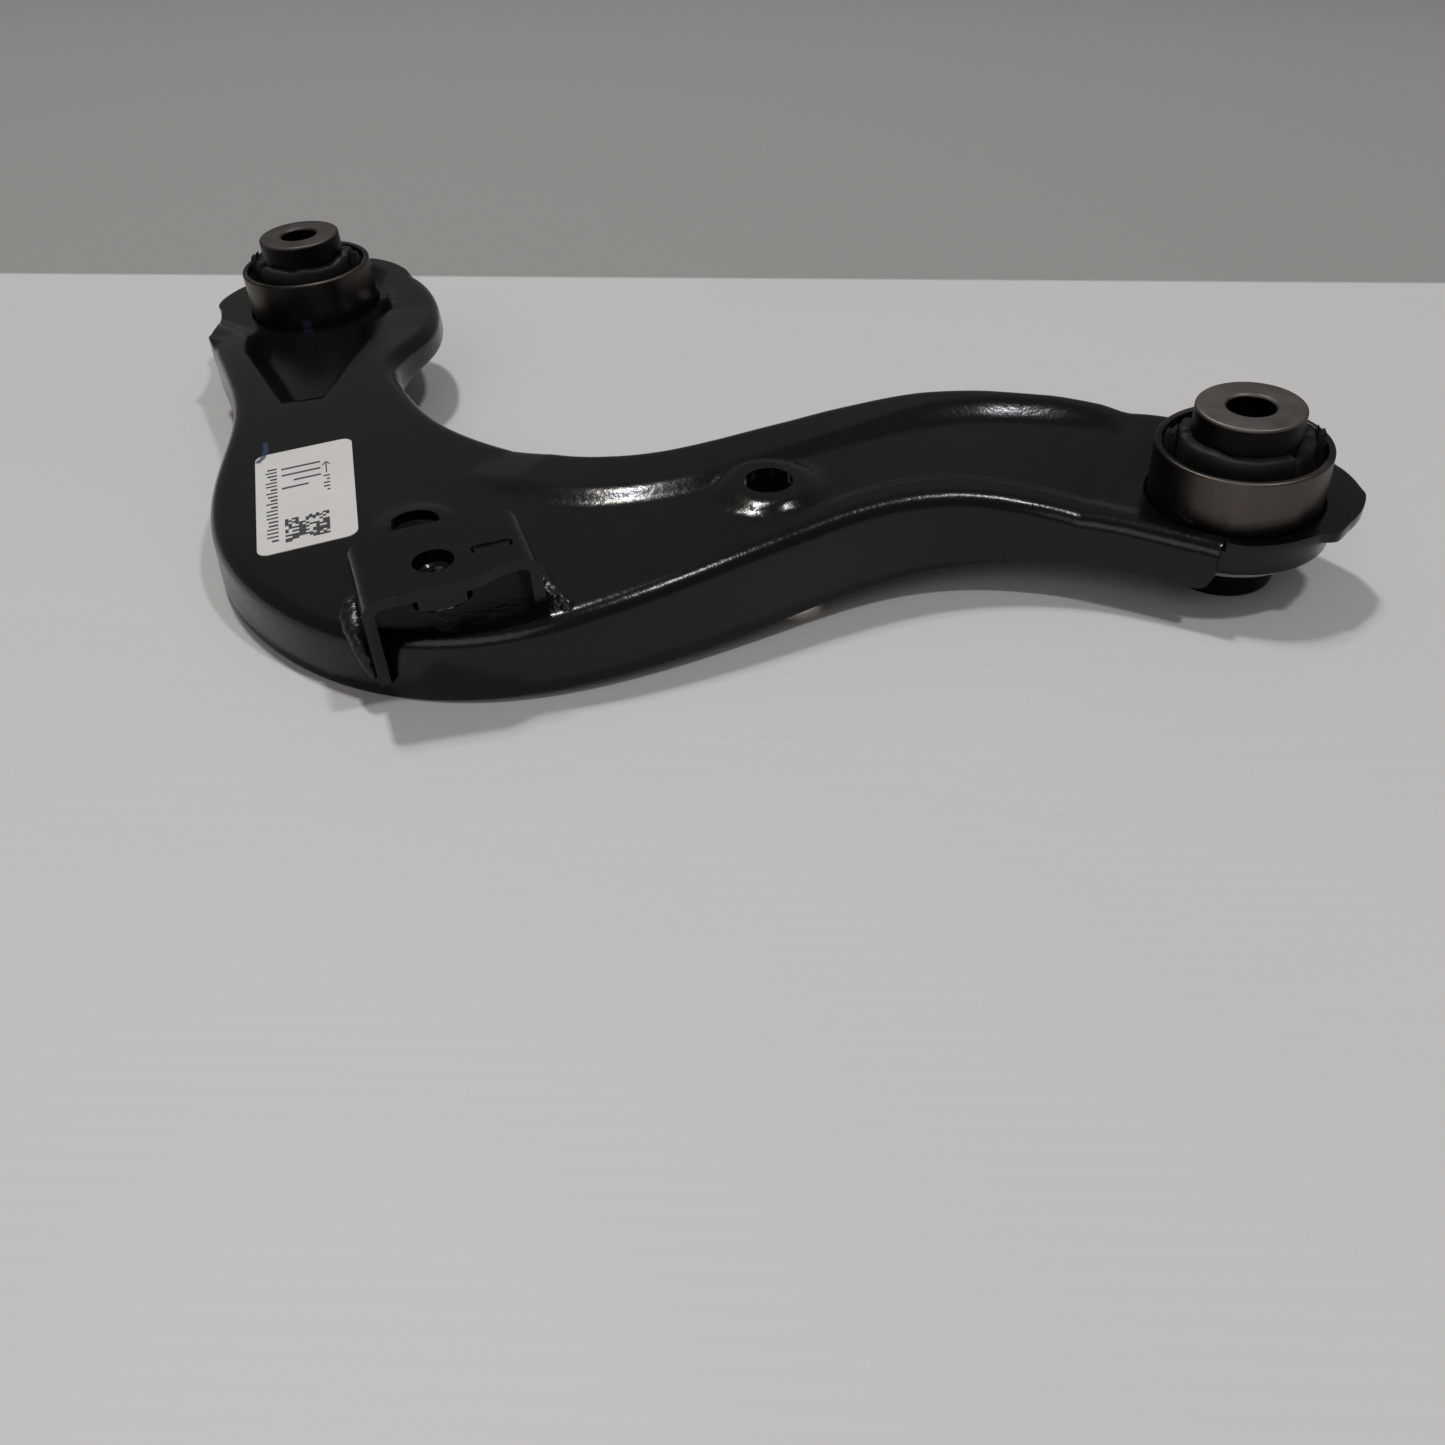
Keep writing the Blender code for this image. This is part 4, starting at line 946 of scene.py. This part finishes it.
def print_mesh():
    """Generic marks: an arrow, heavy bars, two rows of ticks and a patch of blocks."""
    bm = bmesh.new()
    corners = np.array(LABEL_CORNERS)
    length = float(np.linalg.norm(corners[2] - corners[1]))
    width = float(np.linalg.norm(corners[1] - corners[0]))

    def polygon(points):
        fine = []
        for i, (x, y) in enumerate(points):
            nx, ny = points[(i + 1) % len(points)]
            parts = max(1, int(math.hypot(nx - x, ny - y) / 4))
            fine += [(x + (nx - x) * k / parts, y + (ny - y) * k / parts) for k in range(parts)]
        bm.faces.new([bm.verts.new(label_point(x / length, y / width, LABEL_THICKNESS + 0.05))
                      for x, y in fine])

    def bar(x0, y0, x1, y1):
        polygon([(x0, y0), (x1, y0), (x1, y1), (x0, y1)])

    # x runs down the label, y from its outer side to its inner side.
    bar(13.0, 20.05, 19.0, 20.4)
    polygon([(12.0, 20.2), (14.0, 18.9), (14.3, 19.2), (12.8, 20.2), (14.3, 21.2), (14.0, 21.5)])
    for k in range(5):
        bar(20.4 + k * 2.1, 19.3 + 0.9 * (k % 3 == 1), 21.2 + k * 2.1, 21.1)
    for k, (start, end) in enumerate(((7.4, 18.6), (7.4, 18.6), (10.8, 18.6), (7.4, 15.0))):
        bar(11.0 + k * 3.9, start, 11.95 + k * 3.9, end)
    random.seed(7)
    for k in range(21):
        low, wide = random.choice(((2.9, 0.75), (3.4, 0.9), (4.2, 1.0)))
        bar(10.0 + k * 2.05, low, 10.0 + wide + k * 2.05, 6.1)
    for i in range(13):
        for j in range(13):
            if random.random() < 0.55:
                bar(41.2 + i * 0.96, 7.9 + j * 0.96, 42.16 + i * 0.96, 8.86 + j * 0.96)
    bmesh.ops.triangulate(bm, faces=bm.faces)
    return mesh_from(bm, "label_print", recalc=False)


# ---------------------------------------------------------------- bushings


def rubber_mesh(name, axis, turn, torn, tabs):
    """The bonded rubber: a deep annulus and a lobed skirt round the inner sleeve, both ends alike."""
    inside, outside = INNER_RADIUS + 0.05, OUTER_RADIUS - OUTER_WALL - 0.05

    def profile(a):
        lobes = 0.5 + 0.5 * math.cos(3 * (a - turn))
        notch = smooth_step((math.cos(2 * (a - turn - 0.5)) - 0.93) / 0.06)
        tab = max(smooth_step((math.cos(a - math.radians(t)) - 0.9925) / 0.005) for t in tabs)
        wave = 0.25 * math.sin(7 * a + turn) + 0.15 * math.sin(13 * a)
        top = 42.2 + 0.5 * lobes + wave * torn - 3.2 * notch + 1.0 * tab
        skirt = 17.0 + 0.25 * lobes + 0.15 * wave - 1.2 * notch
        floor = 33.6 + 0.8 * lobes + 8.6 * tab
        upper = [(inside, top), (inside + 0.8, top + 0.1), (skirt - 0.7, top - 0.1), (skirt - 0.15, top - 0.6),
                 (skirt + 0.1, top - 1.6), (skirt + 0.3, 37.5), (skirt + 0.5, floor + 1.4), (skirt + 1.1, floor),
                 (18.8, floor - 0.3), (19.5, floor + 0.3), (20.0, max(36.0, floor - 1.4)), (outside - 0.2, 36.9),
                 (outside, 37.2)]
        lower = [(r, 50.8 - z) for r, z in reversed(upper)]
        return upper + lower

    return lathe(name, profile, axis, 180)


def sleeve_mesh(name, axis):
    profile = rounded([(INNER_RADIUS, INNER_LENGTH), (INNER_RADIUS, 0.0), (BOLT_RADIUS + 0.6, 0.0),
                       (BOLT_RADIUS, 0.6),
                       (BOLT_RADIUS, INNER_LENGTH - 0.6), (BOLT_RADIUS + 0.6, INNER_LENGTH)],
                      (0.9, 0.9, 0.15, 0.2, 0.2, 0.15), 5)
    return lathe(name, lambda a: profile, axis, 144)


def shell_mesh(name, axis):
    inside = OUTER_RADIUS - OUTER_WALL
    profile = rounded([(OUTER_RADIUS, OUTER_TOP), (OUTER_RADIUS, OUTER_BOTTOM + 2.0),
                       (OUTER_RADIUS - 1.2, OUTER_BOTTOM),
                       (inside, OUTER_BOTTOM), (inside, OUTER_TOP)], (1.0, 0.5, 0.4, 0.3, 0.7), 6)
    return lathe(name, lambda a: profile, axis, 144)


# ---------------------------------------------------------------- making everything

PAINT = black_paint("black_paint_orange_peel", marks=True)
PAINT_BRACKET = black_paint("black_paint_bracket")
RUBBER = black_rubber()
WELD = weld_metal()

add("arm", arm_mesh(), "arm", "arm_body", PAINT)
add("bracket_plate", bracket_mesh(), "arm", "bracket", PAINT_BRACKET, 0)
add("nut", nut_mesh(), "arm", "weld_nut", PAINT_BRACKET, 30.0)

LEFT_BEAD = ((-19.9, -16.0, 33.4, 1.5), (-20.4, -11.0, 34.0, 3.0), (-20.8, -5.5, 33.8, 3.4),
             (-20.8, -1.0, 32.4, 2.9),
             (-20.4, 1.9, 29.0, 2.1), (-20.0, 3.0, 25.0, 1.4), (-19.9, 3.4, 23.0, 0.7))
RIGHT_BEAD = ((24.2, -13.0, 34.6, 1.3), (24.6, -7.0, 34.9, 2.2), (24.7, -1.0, 35.0, 2.4),
              (25.2, 4.5, 35.0, 2.5),
              (26.2, 8.2, 34.8, 2.5), (28.0, 10.4, 34.3, 2.1), (30.6, 11.4, 34.0, 1.1))
add("weld_left", bead_mesh("weld_left", LEFT_BEAD, 3, 0.8, 0.1), "arm", "bracket_weld_left",
    WELD, 60.0)
add("weld_right", bead_mesh("weld_right", RIGHT_BEAD, 11, 0.3, 1.1), "arm", "bracket_weld_right",
    WELD, 60.0)
add("sticker", label_mesh(), "arm", "label", label_paper(), 60.0)
add("sticker_print", print_mesh(), "arm", None, label_ink(), 0)

for side, axis, turn, torn, tabs in (("left", LEFT_AXIS, 0.6, 1.0, (204.0, 26.0)),
                                     ("right", RIGHT_AXIS, 2.3, 0.7, (200.0, 22.0))):
    face = (0.085, 0.078, 0.072) if side == "left" else (0.16, 0.145, 0.133)
    skin = (0.011, 0.0105, 0.010) if side == "left" else (0.014, 0.013, 0.0125)
    shell = shell_steel(side + "_shell_steel", axis, SHEEN_BANDS[side], side == "left")
    add(side + "_shell", shell_mesh(side + "_shell", axis), "arm", side + "_outer_sleeve",
        shell)
    add(side + "_bush", rubber_mesh(side + "_bush", axis, turn, torn, tabs), "arm", side + "_rubber",
        RUBBER, 50.0)
    add(side + "_sleeve_tube", sleeve_mesh(side + "_sleeve_tube", axis), side + "_sleeve", side + "_inner_sleeve",
        sleeve_steel(side + "_sleeve_steel", face, skin, axis), 30.0)

# ---------------------------------------------------------------- table, light, camera

TABLE_AT_ORIGIN, TABLE_SLOPE = -1.51, -0.108   # the table's height in mm and its slope along y


def table_point(x, y):
    return Vector(row_frame((x, y, TABLE_AT_ORIGIN + TABLE_SLOPE * y)))


def table_material():
    s = Shader("pale_table", Roughness=0.55, IOR=1.4)
    cloud = s.noise(2.5, 3.0, 0.5)
    a, b = row_frame((-105, 169, 0)), row_frame((170, 316, 0))
    length = math.hypot(b[0] - a[0], b[1] - a[1])
    nx, ny = -(b[1] - a[1]) / length, (b[0] - a[0]) / length
    past = s.math("ADD", s.math("MULTIPLY", s.math("SUBTRACT", s.axis("X"), a[0]), nx),
                  s.math("MULTIPLY", s.math("SUBTRACT", s.axis("Y"), a[1]), ny))
    top = s.mix(cloud, (0.60, 0.585, 0.575), (0.64, 0.625, 0.615))
    # the grey backdrop painted on the floor beyond the line gets lighter further back: painted light standing in
    # for the lamps' falloff
    wall = s.mix(s.ramp(past, 0.0, 0.8), (0.315, 0.31, 0.298), (0.345, 0.337, 0.33))
    ribs = s.math("SINE", s.math("MULTIPLY", past, 2 * math.pi / 0.0047))
    faint = s.ramp(s.math("MULTIPLY", ribs, s.noise(7.0, 3.0, 0.6)), -0.6, 0.6, 0.0, 0.04)
    top = s.mix(faint, top, (0.40, 0.39, 0.38))
    s.colour(s.mix(s.ramp(past, -0.0015, 0.0015), top, wall))
    s.bump((s.noise(300.0, 2.0), 0.0001, 0.05))
    return s.material


bm = bmesh.new()
half = 2600.0
cells = 8
grid = [[bm.verts.new(table_point(-half + 2 * half * i / cells, -half + 2 * half * j / cells))
         for i in range(cells + 1)]
        for j in range(cells + 1)]
for j in range(cells):
    for i in range(cells):
        bm.faces.new((grid[j][i], grid[j][i + 1], grid[j + 1][i + 1], grid[j + 1][i]))
floor = temporary("table_top", mesh_from(bm, "table_top"))
if floor.data.polygons[0].normal.z < 0:
    floor.data.flip_normals()
floor.data.materials.append(table_material())

world = bpy.data.worlds.new("studio")
world.use_nodes = True
world.node_tree.nodes["Background"].inputs["Color"].default_value = (0.30, 0.295, 0.29, 1.0)
world.node_tree.nodes["Background"].inputs["Strength"].default_value = 0.50
bpy.context.scene.world = world


def area_light(name, place, target, size, power, colour):
    data = bpy.data.lights.new(name, "AREA")
    data.shape = "RECTANGLE"
    data.size, data.size_y = size
    data.energy = power
    data.color = colour
    obj = bpy.data.objects.new(name, data)
    bpy.context.scene.collection.objects.link(obj)
    obj.location = place
    obj.rotation_euler = (Vector(place) - Vector(target)).to_track_quat("Z", "Y").to_euler()
    return obj


middle = Vector(row_frame((0, -60, 30)))
area_light("cool_left", middle + 3.0 * Vector((-0.295, 0.235, 0.925)), middle,
           (0.20, 0.20), 28.0, (0.93, 0.97, 1.0))
area_light("warm_left", middle + 3.0 * Vector((-0.355, 0.280, 0.890)), middle,
           (0.20, 0.20), 11.0, (1.0, 0.90, 0.78))
area_light("cool_right", middle + 3.0 * Vector((0.41, 0.14, 0.900)), middle,
           (0.22, 0.22), 23.0, (0.94, 0.97, 1.0))
area_light("front_fill", middle + Vector((0.30, -1.30, 1.10)), middle, (1.4, 0.9), 4.5, (1.0, 0.97, 0.94))

data = bpy.data.cameras.new("camera")
data.sensor_width = 36.0
data.lens = 34.197
data.clip_start = 0.02
camera = bpy.data.objects.new("camera", data)
bpy.context.scene.collection.objects.link(camera)
right, up = Vector((0.86359, 0.50088, -0.05771)), Vector((-0.28064, 0.57262, 0.77029))
pose = Matrix.Identity(4)
for i, column in enumerate((right, up, right.cross(up))):
    pose.col[i].xyz = column.normalized()
pose.col[3].xyz = row_frame((220.065, -343.830, 219.032))
camera.matrix_world = pose
bpy.context.scene.camera = camera
bpy.context.scene.view_settings.view_transform = "Standard"
